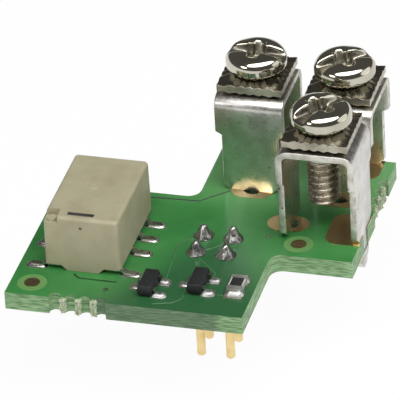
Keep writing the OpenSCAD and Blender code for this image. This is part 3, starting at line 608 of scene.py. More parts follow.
def settle(piece: Piece) -> Piece:
    """Replace a piece's mesh by its evaluated one, and drop its modifiers.

    Args:
        piece: Object with modifiers.

    Returns:
        The same piece.
    """
    bpy.context.view_layer.update()
    evaluated = piece.evaluated_get(bpy.context.evaluated_depsgraph_get())
    mesh = bpy.data.meshes.new_from_object(evaluated)
    mesh.name = piece.name
    piece.modifiers.clear()
    piece.data = mesh
    return piece


def smooth(piece: Piece, angle: float = 35) -> Piece:
    """Shade a piece smoothly, apart from edges sharper than the angle in degrees.

    Args:
        piece: Object to shade.
        angle: Least angle of a sharp edge.

    Returns:
        The same piece.
    """
    piece.data.shade_smooth()
    piece.data.set_sharp_from_angle(angle=math.radians(angle))
    return piece


def paint(piece: Piece, finish: Finish) -> None:
    """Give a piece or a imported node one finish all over.

    Args:
        piece: Object with or without materials.
        finish: Its finish.
    """
    if not piece.data.materials:
        piece.data.materials.append(finish.material())
    for spot in piece.material_slots:
        spot.material = finish.material()


def hand_over(piece: Piece, body: str, finish: Finish, *nodes: str) -> None:
    """Tie a finished piece to its body and the nodes that it stands for.

    Args:
        piece: The finished piece.
        body: Body that the piece moves with.
        finish: Finish of the piece.
        nodes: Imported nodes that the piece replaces.
    """
    if not piece.data.materials:
        paint(piece, finish)
    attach(piece, body)
    if nodes:
        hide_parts(*nodes)
    LOG.info("built %s on %s", piece.name, body)


def dress(finish: Finish, *nodes: str) -> None:
    """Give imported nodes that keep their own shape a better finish.

    Args:
        finish: The finish.
        nodes: Names of the nodes.
    """
    for node in nodes:
        paint(bpy.data.objects[node], finish)
        LOG.info("dressed %s", node)


def softened(node: str, name: str, width: float, angle: float = 40) -> Piece:
    """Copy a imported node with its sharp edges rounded.

    Args:
        node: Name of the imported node.
        name: Name of the copy.
        width: Width of the rounding.
        angle: Edges sharper than this, in degrees, are rounded.

    Returns:
        The copy.
    """
    flat = math.radians(0.5)
    form = bmesh.new()
    form.from_mesh(bpy.data.objects[node].data)
    bmesh.ops.remove_doubles(form, verts=form.verts, dist=WELD)
    bmesh.ops.dissolve_limit(form, angle_limit=flat, verts=form.verts, edges=form.edges)
    piece = from_bmesh(name, form)
    bevel = piece.modifiers.new("rounding", "BEVEL")
    bevel.width = width
    bevel.segments = 3
    bevel.limit_method = "ANGLE"
    bevel.angle_limit = math.radians(angle)
    return smooth(settle(piece))


def bridge(form: bmesh.types.BMesh, first: Sequence[bmesh.types.BMVert],
           second: Sequence[bmesh.types.BMVert]) -> None:
    """Join two rings of corners by faces.

    Args:
        form: Mesh that takes the faces.
        first: Corners of one ring, or a single one for a tip.
        second: Corners of the other ring.
    """
    for k in range(max(len(first), len(second))):
        corners = [first[k % len(first)], first[(k + 1) % len(first)]]
        corners += [second[(k + 1) % len(second)], second[k % len(second)]]
        form.faces.new(list(dict.fromkeys(corners)))


def turned(name: str, profile: Sequence[Pair], steps: int) -> Piece:
    """Turn a half section round the Z axis.

    Args:
        name: Name of the object.
        profile: Radius and height of each corner; a first or last radius of 0 closes that end.
        steps: Number of facets round the axis.

    Returns:
        An object with a closed mesh.
    """
    form = bmesh.new()
    rings = []
    for radius, height in profile:
        turns = [2 * math.pi * k / steps for k in range(steps if radius > 0 else 1)]
        rings.append([form.verts.new((radius * math.cos(a), radius * math.sin(a), height)) for a in turns])
    for upper, lower in zip(rings, rings[1:]):
        bridge(form, upper, lower)
    bmesh.ops.remove_doubles(form, verts=form.verts, dist=WELD)
    return from_bmesh(name, form)


def mound(name: str, length: float, width: float, height: float, rows: Sequence[Pair]) -> Piece:
    """Low mound with a round-ended outline, lying along X with its foot at z = 0.

    Args:
        name: Name of the object.
        length: Length of the outline.
        width: Width of the outline.
        height: Height of the mound.
        rows: Share of the half width drawn in, and share of the height, from the foot up.

    Returns:
        An object with a closed mesh.
    """
    steps = 32
    run = (length - width) / 2
    turns = [2 * math.pi * (k + 0.5) / steps for k in range(steps)]
    form = bmesh.new()
    rings = []
    for drawn, risen in rows:
        radius = width / 2 * (1 - drawn)
        ring = []
        for a in turns:
            x = math.copysign(run, math.cos(a)) + radius * math.cos(a)
            ring.append(form.verts.new((x, radius * math.sin(a), height * risen)))
        rings.append(ring)
    for lower, upper in zip(rings, rings[1:]):
        bridge(form, lower, upper)
    form.faces.new(rings[0])
    form.faces.new(rings[-1])
    return from_bmesh(name, form)


def arc(centre: Pair, radius: float, start: float, end: float, steps: int) -> list[Pair]:
    """Points along a circular arc between two angles in degrees."""
    angles = [math.radians(start + (end - start) * k / steps) for k in range(steps + 1)]
    return [(centre[0] + radius * math.cos(a), centre[1] + radius * math.sin(a)) for a in angles]


def scatter_tree() -> GeometryGraph:
    """Tree that sets copies of a form on points, and ripples their surfaces.

    Returns:
        The tree, ready to run.
    """
    graph = GeometryGraph("scattered_forms")
    source = graph.value("Form", "NodeSocketObject")
    jitter, ripple, lumps = graph.values("Size Jitter", "Ripple Depth", "Ripples per Metre")
    seed = graph.value("Seed", "NodeSocketInt")
    form = graph.add("GeometryNodeObjectInfo", Object=source)
    turn = graph.add("GeometryNodeInputNamedAttribute", Name="turn")
    angle = graph.add("ShaderNodeCombineXYZ", Z=turn)
    size = graph.add("FunctionNodeRandomValue")
    size.data_type = "FLOAT_VECTOR"
    graph.feed(size.inputs["Min"], graph.maths("SUBTRACT", 1.0, jitter))
    graph.feed(size.inputs["Max"], graph.maths("ADD", 1.0, jitter))
    graph.feed(size.inputs["Seed"], seed)
    copies = graph.add(
        "GeometryNodeInstanceOnPoints", Points=graph.seed, Instance=form.outputs["Geometry"],
        Rotation=angle, Scale=size)
    real = graph.add("GeometryNodeRealizeInstances", Geometry=copies)
    noise = graph.add("ShaderNodeTexNoise", Scale=lumps, Detail=2.0)
    height = graph.maths("MULTIPLY", graph.maths("SUBTRACT", noise, 0.5), ripple)
    push = graph.vectors("SCALE", graph.add("GeometryNodeInputNormal"))
    graph.feed(push.inputs["Scale"], height)
    moved = graph.add("GeometryNodeSetPosition", Geometry=real, Offset=push)
    graph.close(moved)
    return graph


def thread_tree() -> GeometryGraph:
    """Tree that makes a right-hand screw thread on a round core with a coned tip.

    Returns:
        The tree, ready to run.
    """
    facets, rows = 72, 112
    crest_end, root_start = 0.08, 0.42
    tip_share = 0.74
    graph = GeometryGraph("screw_thread")
    place = graph.value("Place", "NodeSocketVector")
    length, pitch, crest, depth, tip = graph.values(
        "Length", "Pitch", "Crest Radius", "Depth", "Tip Length")
    rod = graph.add(
        "GeometryNodeMeshCylinder", Vertices=facets, Side_Segments=rows, Radius=crest, Depth=length)
    x, y, z = graph.axes(graph.add("GeometryNodeInputPosition"))
    turn = graph.maths("DIVIDE", graph.maths("ARCTAN2", y, x), 2 * math.pi)
    phase = graph.maths("FRACT", graph.maths("SUBTRACT", graph.maths("DIVIDE", z, pitch), turn))
    ridge = graph.maths("ABSOLUTE", graph.maths("SUBTRACT", phase, 0.5))
    shaped = graph.add("ShaderNodeMapRange", Value=ridge, From_Min=crest_end, From_Max=root_start)
    groove = graph.maths("MULTIPLY", graph.maths("SUBTRACT", 1.0, shaped), depth)
    above = graph.maths("ADD", z, graph.maths("DIVIDE", length, 2.0))
    cone = graph.add("ShaderNodeMapRange", Value=above, From_Max=tip, To_Min=tip_share)
    share = graph.maths("DIVIDE", graph.maths("SUBTRACT", crest, groove), crest)
    share = graph.maths("MULTIPLY", share, cone)
    spot = graph.add(
        "ShaderNodeCombineXYZ", X=graph.maths("MULTIPLY", x, share),
        Y=graph.maths("MULTIPLY", y, share), Z=z)
    cut = graph.add("GeometryNodeSetPosition", Geometry=rod, Position=spot)
    put = graph.add("GeometryNodeTransform", Geometry=cut, Translation=place)
    graph.close(put)
    return graph


def trace_tree() -> GeometryGraph:
    """Tree that lays flat tracks with rounded corners along edges.

    Returns:
        The tree, ready to run.
    """
    corner_steps = 5
    graph = GeometryGraph("flat_tracks")
    width, rise, corner = graph.values("Width", "Rise", "Corner Radius")
    path = graph.add("GeometryNodeMeshToCurve", Mesh=graph.seed)
    rounded = graph.add("GeometryNodeFilletCurve", Curve=path, Radius=corner)
    rounded.mode = "POLY"
    graph.feed(rounded.inputs["Count"], corner_steps)
    level = graph.add("GeometryNodeSetCurveNormal", Curve=rounded)
    level.mode = "Z_UP"
    section = graph.add("GeometryNodeCurvePrimitiveQuadrilateral", Width=width, Height=rise)
    strip = graph.add("GeometryNodeCurveToMesh", Curve=level, Profile_Curve=section, Fill_Caps=True)
    graph.close(strip)
    return graph


@dataclass(frozen=True)
class Ripple:
    """How much copies of a form differ in size, and the depth and number of their ripples."""

    jitter: float = 0.0
    depth: float = 0.0
    per_metre: float = 1.0
    seed: int = 1


@dataclass
class Workshop:
    """The node trees and the board's places that all sub-assemblies share."""

    scatter: GeometryGraph = field(default_factory=scatter_tree)
    thread: GeometryGraph = field(default_factory=thread_tree)
    tracks: GeometryGraph = field(default_factory=trace_tree)
    corner: Vector = field(default_factory=lambda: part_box("circuit_board")[0])
    deck: float = field(default_factory=lambda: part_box("circuit_board")[1].z)

    def on_board(self, x: float, y: float, rise: float = 0.0) -> Vector:
        """Point on the board's top, from its front left corner, in millimetres."""
        return Vector((self.corner.x + x * MM, self.corner.y + y * MM, self.deck + rise * MM))

    def set_out(self, name: str, form: Piece, places: Sequence[Vector], turns: Sequence[float],
                finish: Finish, ripple: Ripple, *nodes: str) -> None:
        """Set copies of a form on points, remove the form and hand over the piece.

        Args:
            name: Name of the new piece.
            form: Object whose mesh is copied.
            places: Position of each copy.
            turns: Angle of each copy about Z, in radians.
            finish: Finish of the copies.
            ripple: How the copies differ, and how their surface is rippled.
            nodes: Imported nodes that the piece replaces.
        """
        points = bpy.data.meshes.new(name)
        points.from_pydata([tuple(p) for p in places], [], [])
        points.attributes.new("turn", "FLOAT", "POINT").data.foreach_set("value", list(turns))
        piece = self.scatter.run(
            name, points, Material=finish.material(), Form=form,
            Size_Jitter=ripple.jitter, Ripple_Depth=ripple.depth, Ripples_per_Metre=ripple.per_metre,
            Seed=ripple.seed)
        bpy.data.objects.remove(form)
        hand_over(piece, "board", finish, *nodes)

    def lay(self, name: str, routes: Sequence[Sequence[Vector]], finish: Finish, width: float,
            rise: float, corner_r: float = 0.0) -> None:
        """Lay a flat strip along each route and hand over the piece.

        Args:
            name: Name of the new piece.
            routes: Corners of each route.
            finish: Finish of the strips.
            width: Width of a strip.
            rise: Thickness of a strip.
            corner_r: Radius of the corners.
        """
        form = bmesh.new()
        for route in routes:
            corners = [form.verts.new(p) for p in route]
            for pair in zip(corners, corners[1:]):
                form.edges.new(pair)
        lines = bpy.data.meshes.new(name)
        form.to_mesh(lines)
        form.free()
        piece = self.tracks.run(
            name, lines, Material=finish.material(), Width=width, Rise=rise, Corner_Radius=corner_r)
        hand_over(piece, "board", finish)


@dataclass
class Assembly:
    """A sub-assembly: pieces that are built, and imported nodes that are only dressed."""

    shop: Workshop

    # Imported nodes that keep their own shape, by their finish
    FINISHES = {}

    def build(self) -> None:
        """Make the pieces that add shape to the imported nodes."""
        raise NotImplementedError

    def dress(self) -> None:
        """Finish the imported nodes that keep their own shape."""
        for finish, nodes in self.FINISHES.items():
            dress(finish, *nodes)


class Corner(Enum):
    """The three terminals, named by their place on the board."""

    LEFT = "left"
    CORNER = "corner"
    FRONT = "front"


@dataclass
class Terminal(Assembly):
    """One screw terminal: bracket, toothed washer and captive screw."""

    place: Corner
    slot_angle: float
    head_h: float = 2.1 * MM
    shoulder_r: float = 0.8 * MM
    crown_r: float = 7.0 * MM
    bearing_r: float = 2.15 * MM
    lift: float = 0.45 * MM
    neck_r: float = 1.1 * MM
    neck_l: float = 1.38 * MM
    slot_w: float = 1.15 * MM
    slot_h: float = 0.95 * MM
    wing_w: float = 0.9 * MM
    wing_l: float = 3.1 * MM
    wing_foot: float = 1.6 * MM
    wing_h: float = 1.5 * MM
    thread_r: float = 1.35 * MM
    thread_depth: float = 0.36 * MM
    thread_pitch: float = 0.635 * MM
    thread_angle: float = 50
    tip_l: float = 0.3 * MM
    edge_round: float = 0.05 * MM
    sheet_round: float = 0.07 * MM
    sheared: float = 0.95
    upright: float = 0.3
    washer_round: float = 0.05 * MM
    tooth_angle: float = 14
    recess_under: float = 0.32 * MM
    voxel_mm: float = 0.04
    crown_from_mm: float = 1.0
    crown_full_mm: float = 1.4

    # Times that the head and then its crown are rubbed, and the share taken off each time
    RUB, CROWN_RUB, RUB_SHARE = 36, 520, 0.5
    # Facets round the head, and steps along its crown, its shoulder and its foot's rounding
    FACETS, CROWN_STEPS, SHOULDER_STEPS, FOOT_STEPS = 96, 8, 12, 3
    # Angle at which the foot's rounding ends
    FOOT_END = -60

    def node(self, kind: str) -> str:
        """Name of one of this terminal's nodes, pieces or bodies."""
        return f"{self.place.value}_{kind}"

    def seat(self) -> Vector:
        """Middle of the head's underside."""
        low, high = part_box(self.node("screw"))
        return Vector(((low.x + high.x) / 2, (low.y + high.y) / 2, high.z - self.head_h))

    def head_profile(self) -> list[Pair]:
        """Half section of the head and neck, from the crown's middle to the neck's end.

        Returns:
            Radius and height of each corner.
        """
        low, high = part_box(self.node("screw"))
        radius = (high.x - low.x) / 2
        rim = radius - self.shoulder_r
        crown_z = self.head_h - self.crown_r
        rim_z = crown_z + math.sqrt((self.crown_r - self.shoulder_r) ** 2 - rim ** 2)
        meet = math.degrees(math.acos(rim / (self.crown_r - self.shoulder_r)))
        corner = (radius - self.edge_round, self.lift + self.edge_round)
        crown = arc((0, crown_z), self.crown_r, 90, meet, self.CROWN_STEPS)
        shoulder = arc((rim, rim_z), self.shoulder_r, meet, 0, self.SHOULDER_STEPS)
        foot = arc(corner, self.edge_round, 0, self.FOOT_END, self.FOOT_STEPS)
        neck = [(self.bearing_r, 0), (self.neck_r, 0), (self.neck_r, -self.neck_l), (0, -self.neck_l)]
        return [(0, self.head_h)] + crown[1:] + shoulder[1:] + foot + neck

    def recess_cutters(self) -> list[Piece]:
        """Blocks that cut the slot and the cross recess, at the origin.

        Returns:
            The three blocks.
        """
        top = self.head_h
        over = top + self.head_h
        reach = self.wing_l
        floor = top - self.slot_h
        slot = [(-reach, floor), (reach, floor), (reach, over), (-reach, over)]
        half = self.wing_l / 2
        foot = self.wing_foot / 2
        floor = top - self.wing_h
        wing = [(-half, top), (-foot, floor), (foot, floor), (half, top), (half, over), (-half, over)]
        cutters = []
        for outline, width, angle in (
                (slot, self.slot_w, 0), (wing, self.wing_w, 0), (wing, self.wing_w, 90)):
            form = bmesh.new()
            near = [form.verts.new((x, -width / 2, z)) for x, z in outline]
            far = [form.verts.new((x, width / 2, z)) for x, z in outline]
            form.faces.new(near)
            form.faces.new(far)
            bridge(form, near, far)
            bmesh.ops.rotate(form, verts=form.verts, matrix=Matrix.Rotation(math.radians(angle), 3, "Z"))
            cutters.append(from_bmesh("recess_cutter", form))
        return cutters

    def build_head(self) -> Piece:
        """Make the pan head with its combined recess and the neck under it.

        Returns:
            The head, in its place.
        """
        head = turned(self.node("screw_head"), self.head_profile(), self.FACETS)
        cutters = self.recess_cutters()
        for cutter in cutters:
            cut = head.modifiers.new("recess", "BOOLEAN")
            cut.operation = "DIFFERENCE"
            cut.object = cutter
        settle(head)
        for cutter in cutters:
            bpy.data.objects.remove(cutter)
        self.wear(head)
        paint(head, SCREW_NICKEL)
        self.dull_and_shade_recess(head)
        turn = Matrix.Rotation(math.radians(self.slot_angle), 4, "Z")
        head.data.transform(Matrix.Translation(self.seat()) @ turn)
        head.data.shade_smooth()
        return head

    def wear(self, head: Piece) -> None:
        """Round all edges of the head, those of its crown more, on a fine even mesh in millimetres.

        Args:
            head: The head, at the origin.
        """
        head.data.transform(Matrix.Scale(1 / MM, 4))
        even = head.modifiers.new("even mesh", "REMESH")
        even.mode = "VOXEL"
        even.voxel_size = self.voxel_mm
        settle(head)
        crown = head.vertex_groups.new(name="crown")
        for corner in head.data.vertices:
            share = (corner.co.z - self.crown_from_mm) / (self.crown_full_mm - self.crown_from_mm)
            if share > 0:
                crown.add([corner.index], min(share, 1.0), "REPLACE")
        for times, group in ((self.RUB, ""), (self.CROWN_RUB, crown.name)):
            rub = head.modifiers.new("rounding", "SMOOTH")
            rub.factor = self.RUB_SHARE
            rub.iterations = times
            rub.vertex_group = group
        settle(head)
        head.vertex_groups.clear()
        head.data.transform(Matrix.Scale(MM, 4))

    def dull_and_shade_recess(self, head: Piece) -> None:
        """Give the recess's own faces, which lie under the head's outline, a rougher finish with painted
        shade in a darker colour.

        Args:
            head: The head, at the origin.
        """
        head.data.materials.append(SCREW_RECESS_SHADED.material())
        outline = [(r, z) for r, z in self.head_profile() if z > self.lift]
        wall = outline[-1][0] - 2 * self.edge_round
        for face in head.data.polygons:
            reach = math.hypot(face.center.x, face.center.y)
            if face.center.z < self.lift or reach > wall:
                continue
            if face.center.z < max(z for r, z in outline if r >= reach) - self.recess_under:
                face.material_index = 1

    def build(self) -> None:
        """Make the screw, the bracket and the washer."""
        body = self.node("driver")
        hand_over(self.build_head(), body, SCREW_NICKEL, self.node("screw"))
        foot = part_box(self.node("screw"))[0].z
        seat = self.seat()
        top = seat.z - self.neck_l
        shank = self.shop.thread.run(
            self.node("screw_thread"), bpy.data.meshes.new("thread_seed"),
            Material=SCREW_THREAD.material(), Place=Vector((seat.x, seat.y, (top + foot) / 2)),
            Length=top - foot, Pitch=self.thread_pitch, Crest_Radius=self.thread_r,
            Depth=self.thread_depth, Tip_Length=self.tip_l)
        hand_over(smooth(shank, self.thread_angle), body, SCREW_THREAD)
        strip = softened(self.node("bracket"), self.node("bracket_sheet"), self.sheet_round)
        hand_over(strip, "board", SHEET_NICKEL, self.node("bracket"))
        washer = softened(self.node("washer"), self.node("toothed_washer"), self.washer_round)
        smooth(washer, self.tooth_angle)
        hand_over(washer, self.node("clamp"), WASHER_TOP_SHADED, self.node("washer"))

    def dress(self) -> None:
        """Finish the sheared edges of the bracket, and the washer's sides in a lighter colour than its top
        with its painted shade.
        """
        across = 1 if self.place is Corner.FRONT else 0
        strip = bpy.data.objects[self.node("bracket_sheet")]
        strip.data.materials.append(SHEARED_EDGE.material())
        for face in strip.data.polygons:
            face.material_index = int(abs(face.normal[across]) > self.sheared)
        washer = bpy.data.objects[self.node("toothed_washer")]
        washer.data.materials.append(WASHER_EDGE.material())
        for face in washer.data.polygons:
            face.material_index = int(abs(face.normal.z) < self.upright)


@dataclass
class Board(Assembly):
    """The laminate with its mask, tracks, pads and broken edges."""

    ring_r: float = 1.24 * MM
    dot_r: float = 0.65 * MM
    track_w: float = 0.17 * MM
    track_rise: float = 0.03 * MM
    gap_w: float = 0.18 * MM
    via_r: float = 0.26 * MM
    hole_r: float = 0.2 * MM
    via_facets: int = 24
    corner_r: float = 0.5 * MM
    tuft_l: float = 1.5 * MM
    tuft_w: float = 0.5 * MM
    tuft_h: float = 0.4 * MM
    stub_pitch_mm: float = 1.3
    stub_in_mm: float = 0.42
    front_run_mm: float = 6.2
    side_run_mm: float = 20.2
    board_w_mm: float = 27.05
    board_t_mm: float = 1.6

    # Tracks seen through the mask, from the board's front left corner in millimetres
    TRACKS = (
        ((12.6, 4.0), (12.4, 6.6), (12.2, 9.4), (13.1, 10.7), (13.8, 11.2)),
        ((14.2, 8.9), (15.9, 10.4), (16.4, 11.2)),
        ((14.1, 8.4), (16.3, 6.1), (16.5, 5.0)),
        ((14.5, 3.5), (14.65, 1.9), (14.0, 1.1), (12.4, 0.66)),
        ((16.9, 3.0), (18.5, 2.9)),
    )
    # Gaps between copper areas, at the back and along the relay's front, painted dark green for the gap
    # and its shade
    GAPS = (((7.4, 16.35), (12.2, 16.5), (14.4, 18.6)), ((4.9, 3.75), (5.4, 3.22), (8.7, 3.16)))
    # Plated holes under the mask
    VIAS = ((8.1, 1.97), (19.3, 12.2))
    # Sides of the area without copper, the first set to also take in painted shade by the relay's front:
    # direction into it, and a point on the side
    FENCES = (((0.837, -0.547), (9.4, 3.4)), ((-0.846, -0.534), (20.2, 6.5)), ((0.0, -1.0), (14.0, 12.0)))
    TUFT_ROWS = ((0.0, 0.0), (0.05, 0.3), (0.2, 0.7), (0.5, 0.95), (0.9, 1.0))
    TUFT_RIPPLE = Ripple(0.16, 0.6 * MM, 6500, 4)
    FINISHES = {
        GOLD_PAD: ("terminal_pads",),
        DOT_METAL: ("fiducial_dots",),
        PAD_TIN: ("component_pads",),
    }

    def build(self) -> None:
        """Lay the tracks, and roughen the stubs where the board was snapped off."""
        for name, routes, finish, width in (
                ("copper_tracks", self.TRACKS, OVER_COPPER, self.track_w),
                ("copper_gap", self.GAPS, MASK_GAP_SHADED, self.gap_w)):
            paths = [[self.shop.on_board(x, y) for x, y in route] for route in routes]
            self.shop.lay(name, paths, finish, width, self.track_rise, self.corner_r)
        self.build_vias()
        self.build_fibre()

    def build_vias(self) -> None:
        """Set a flat ring round each plated hole."""
        outer, inner, top = self.via_r, self.hole_r, self.track_rise / 2
        profile = [(inner, 0), (inner, top), (outer, top), (outer, 0), (inner, 0)]
        places = [self.shop.on_board(x, y) for x, y in self.VIAS]
        ring = turned("via_ring", profile, self.via_facets)
        self.shop.set_out("via_rings", ring, places, (0.0, 0.0), VIA_TIN, Ripple())

    def build_fibre(self) -> None:
        """Set a tuft of torn fibre on each stub between the perforations."""
        tuft = mound("fibre_tuft", self.tuft_l, self.tuft_w, self.tuft_h, self.TUFT_ROWS)
        tuft.data.transform(Matrix.Rotation(math.radians(90), 4, "Y"))
        tuft.data.transform(Matrix.Rotation(math.radians(180), 4, "Z"))
        refine = tuft.modifiers.new("finer", "SUBSURF")
        refine.levels = refine.render_levels = 2
        settle(tuft)
        depth = -self.board_t_mm / 2
        side_x = self.board_w_mm - self.stub_in_mm
        places = []
        for k in (-1, 0, 1):
            along = k * self.stub_pitch_mm
            places.append(self.shop.on_board(self.front_run_mm + along, self.stub_in_mm, depth))
            places.append(self.shop.on_board(side_x, self.side_run_mm + along, depth))
        turns = (math.radians(90), math.radians(180)) * (len(places) // 2)
        self.shop.set_out("torn_fibre", tuft, places, turns, FIBRE, self.TUFT_RIPPLE)

    def dress(self) -> None:
        """Finish the laminate, then the pads and the fiducial dots."""
        low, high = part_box("fiducial_dots")
        rings = ((low.x + self.dot_r, low.y + self.dot_r), (high.x - self.dot_r, high.y - self.dot_r))
        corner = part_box("circuit_board")[0]
        fences = tuple(
            (nx, ny, nx * (corner.x + x * MM) + ny * (corner.y + y * MM))
            for (nx, ny), (x, y) in self.FENCES)
        mask = MaskFinish("solder_mask", "board_laminate", rings=rings, ring_r=self.ring_r, fences=fences)
        dress(mask, "circuit_board")
        super().dress()


@dataclass
class Header(Assembly):
    """The pin header under the board and its solder on top."""

    pin_r: float = 0.41 * MM
    cone_r: float = 0.84 * MM
    cone_h: float = 1.22 * MM
    cone_facets: int = 40

    # Shares of a cone's radius and height, from its tip to its foot
    BELL = (
        (0, 1.0), (0.16, 0.98), (0.27, 0.92), (0.35, 0.82), (0.43, 0.7), (0.52, 0.56), (0.64, 0.4),
        (0.78, 0.24), (0.92, 0.1), (1.0, 0.03), (1.0, 0.0), (0, 0))
    # Angles that the four cones are turned by, in radians
    TURNS = (0.4, 1.9, 3.1, 5.0)
    CONE_RIPPLE = Ripple(0.06, 0.34 * MM, 1900, 7)
    FINISHES = {GOLD_PIN: ("header_pins",), EPOXY_BLACK: ("header_insulator",)}

    def build(self) -> None:
        """Set a wrinkled solder cone on each pin."""
        low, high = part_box("header_pins")
        profile = [(self.cone_r * share, self.cone_h * rise) for share, rise in self.BELL]
        cone = turned("solder_cone", profile, self.cone_facets)
        places = [
            Vector((x, y, self.shop.deck))
            for x in (low.x + self.pin_r, high.x - self.pin_r)
            for y in (low.y + self.pin_r, high.y - self.pin_r)
        ]
        self.shop.set_out(
            "header_cones", cone, places, self.TURNS, SOLDER, self.CONE_RIPPLE, "header_solder")


@dataclass
class Relay(Assembly):
    """The sealed relay: case, leads, works and foot solder."""

    lead_places: tuple[float, ...] = (-4.6 * MM, -1.4 * MM, 0.8 * MM, 3.0 * MM)
    foot_x: float = 4.04 * MM
    foot_l: float = 1.9 * MM
    foot_w: float = 1.0 * MM
    foot_h: float = 0.16 * MM
    bar_l: float = 2.25 * MM
    bar_w: float = 0.42 * MM
    bar_rise: float = 0.008 * MM
    gate_r: float = 0.42 * MM
    gate_facets: int = 32
    gate_angle: float = 60
    bar_at_mm: Pair = (5.46, 4.88)
    gate_at_mm: Pair = (5.32, 9.35)

    # Share of the gate's radius, and height in millimetres, from its middle outwards
    GATE = ((0, 0.012), (0.6, 0.012), (0.75, 0.03), (0.92, 0.03), (1, 0), (0, 0))
    FOOT_ROWS = (
        (0, 0), (0.1, 0.1), (0.2, 0.32), (0.32, 0.62), (0.45, 0.9), (0.6, 1.0), (0.8, 0.94), (0.95, 0.9))
    FOOT_RIPPLE = Ripple(0.06, 0.04 * MM, 3000, 3)
    FINISHES = {
        RELAY_BEIGE: ("relay_cover",),
        EPOXY_BLACK: ("relay_base",),
        TIN: ("relay_coil_leads", "relay_contact_leads", "relay_common_leads"),
        IRON: ("relay_core", "relay_armature"),
        NATURAL: ("relay_coil_former", "relay_spring_carrier"),
        COPPER: ("relay_winding",),
        MAGNET: ("relay_magnet",),
        BRONZE: ("relay_contact_springs",),
    }

    def build(self) -> None:
        """Make the solder on the feet and the marks on the case."""
        low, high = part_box("relay_cover")
        middle = (low + high) / 2
        foot = mound("foot_solder", self.foot_l, self.foot_w, self.foot_h, self.FOOT_ROWS)
        places = [
            Vector((middle.x + side * self.foot_x, middle.y + y, self.shop.deck))
            for y in self.lead_places for side in (-1, 1)
        ]
        turns = (math.pi, 0.0) * len(self.lead_places)
        self.shop.set_out(
            "relay_foot_solder", foot, places, turns, WET_SOLDER, self.FOOT_RIPPLE, "relay_solder")
        self.build_marks(high.z)

    def build_marks(self, top: float) -> None:
        """Print the plain end bar, and raise the moulding gate's disc.

        Args:
            top: Height of the case's top.
        """
        spot = self.shop.on_board(*self.bar_at_mm)
        ends = [Vector((spot.x + side * self.bar_l / 2, spot.y, top)) for side in (-1, 1)]
        self.shop.lay("end_bar", [ends], INK, self.bar_w, self.bar_rise)
        profile = [(share * self.gate_r, rise * MM) for share, rise in self.GATE]
        gate = turned("gate_mark", profile, self.gate_facets)
        spot = self.shop.on_board(*self.gate_at_mm)
        gate.data.transform(Matrix.Translation((spot.x, spot.y, top)))
        hand_over(smooth(gate, self.gate_angle), "board", RELAY_BEIGE)


@dataclass
class Driver(Assembly):
    """The two transistors and the chip resistor that switch the relay."""

    case_round: float = 0.07 * MM
    case_angle: float = 30
    foot_x: float = 1.06 * MM
    foot_y: float = 0.95 * MM
    lump_l: float = 1.34 * MM
    lump_w: float = 0.98 * MM
    lump_h: float = 0.34 * MM
    sunk: float = 0.16 * MM
    heap_l: float = 1.8 * MM
    heap_w: float = 1.3 * MM
    heap_h: float = 0.52 * MM

    # Sides on which a transistor's three feet lie
    FEET = ((-1, 0), (1, -1), (1, 1))
    LUMP_ROWS = ((0, 0), (0.08, 0.14), (0.2, 0.42), (0.35, 0.72), (0.52, 0.92), (0.75, 1.0), (0.95, 1.0))
    LUMP_RIPPLE = Ripple(0.1, 0.09 * MM, 3600, 5)
    HEAP_ROWS = ((0, 0), (0.1, 0.2), (0.22, 0.48), (0.4, 0.76), (0.6, 0.93), (0.85, 1.0))
    HEAP_RIPPLE = Ripple(0.04, 0.12 * MM, 3400, 2)
    FINISHES = {
        TIN: ("left_transistor_leads", "right_transistor_leads"),
        CAP_TIN: ("resistor_end_caps",),
        CERAMIC: ("resistor_ceramic",),
        GLAZE: ("resistor_glaze",),
        FROSTED_SOLDER: ("terminal_solder",),
    }

    def build(self) -> None:
        """Make the moulded bodies and the solder at all feet."""
        places = []
        turns = []
        for side in ("left", "right"):
            node = f"{side}_transistor_body"
            body = softened(node, f"{side}_transistor_case", self.case_round, self.case_angle)
            hand_over(body, "board", EPOXY_BLACK, node)
            low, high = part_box(node)
            middle = (low + high) / 2
            for sx, sy in self.FEET:
                level = 0.0 if sx > 0 else -self.sunk
                spot = Vector((sx * self.foot_x, sy * self.foot_y, level))
                places.append(Vector((middle.x, middle.y, self.shop.deck)) + spot)
                turns.append(0.0 if sx > 0 else math.pi)
        lump = mound("lump", self.lump_l, self.lump_w, self.lump_h, self.LUMP_ROWS)
        self.shop.set_out(
            "transistor_lumps", lump, places, turns, FROSTED_SOLDER, self.LUMP_RIPPLE, "transistor_solder")
        self.build_resistor_solder()

    def build_resistor_solder(self) -> None:
        """Heap solder against the resistor's two ends."""
        low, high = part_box("resistor_ceramic")
        heap = mound("heap", self.heap_l, self.heap_w, self.heap_h, self.HEAP_ROWS)
        places = [Vector(((low.x + high.x) / 2, y, self.shop.deck)) for y in (low.y, high.y)]
        self.shop.set_out(
            "resistor_heaps", heap, places, (0.0, math.pi), FROSTED_SOLDER, self.HEAP_RIPPLE,
            "resistor_solder")


@dataclass(frozen=True)
class Lamp:
    """A soft box: its place, its width and height, and its power in watts."""

    name: str
    place: Triple
    size: Pair
    power: float

    def hang(self, target: Triple) -> None:
        """Add the box to the scene, facing the target.

        Args:
            target: Point that it faces.
        """
        light = bpy.data.lights.new(self.name, "AREA")
        light.shape = "ELLIPSE"
        light.size, light.size_y = self.size
        light.energy = self.power
        lamp = add_object(self.name, light)
        lamp.location = self.place
        aim = Vector(target) - Vector(self.place)
        lamp.rotation_euler = aim.to_track_quat("-Z", "Y").to_euler()


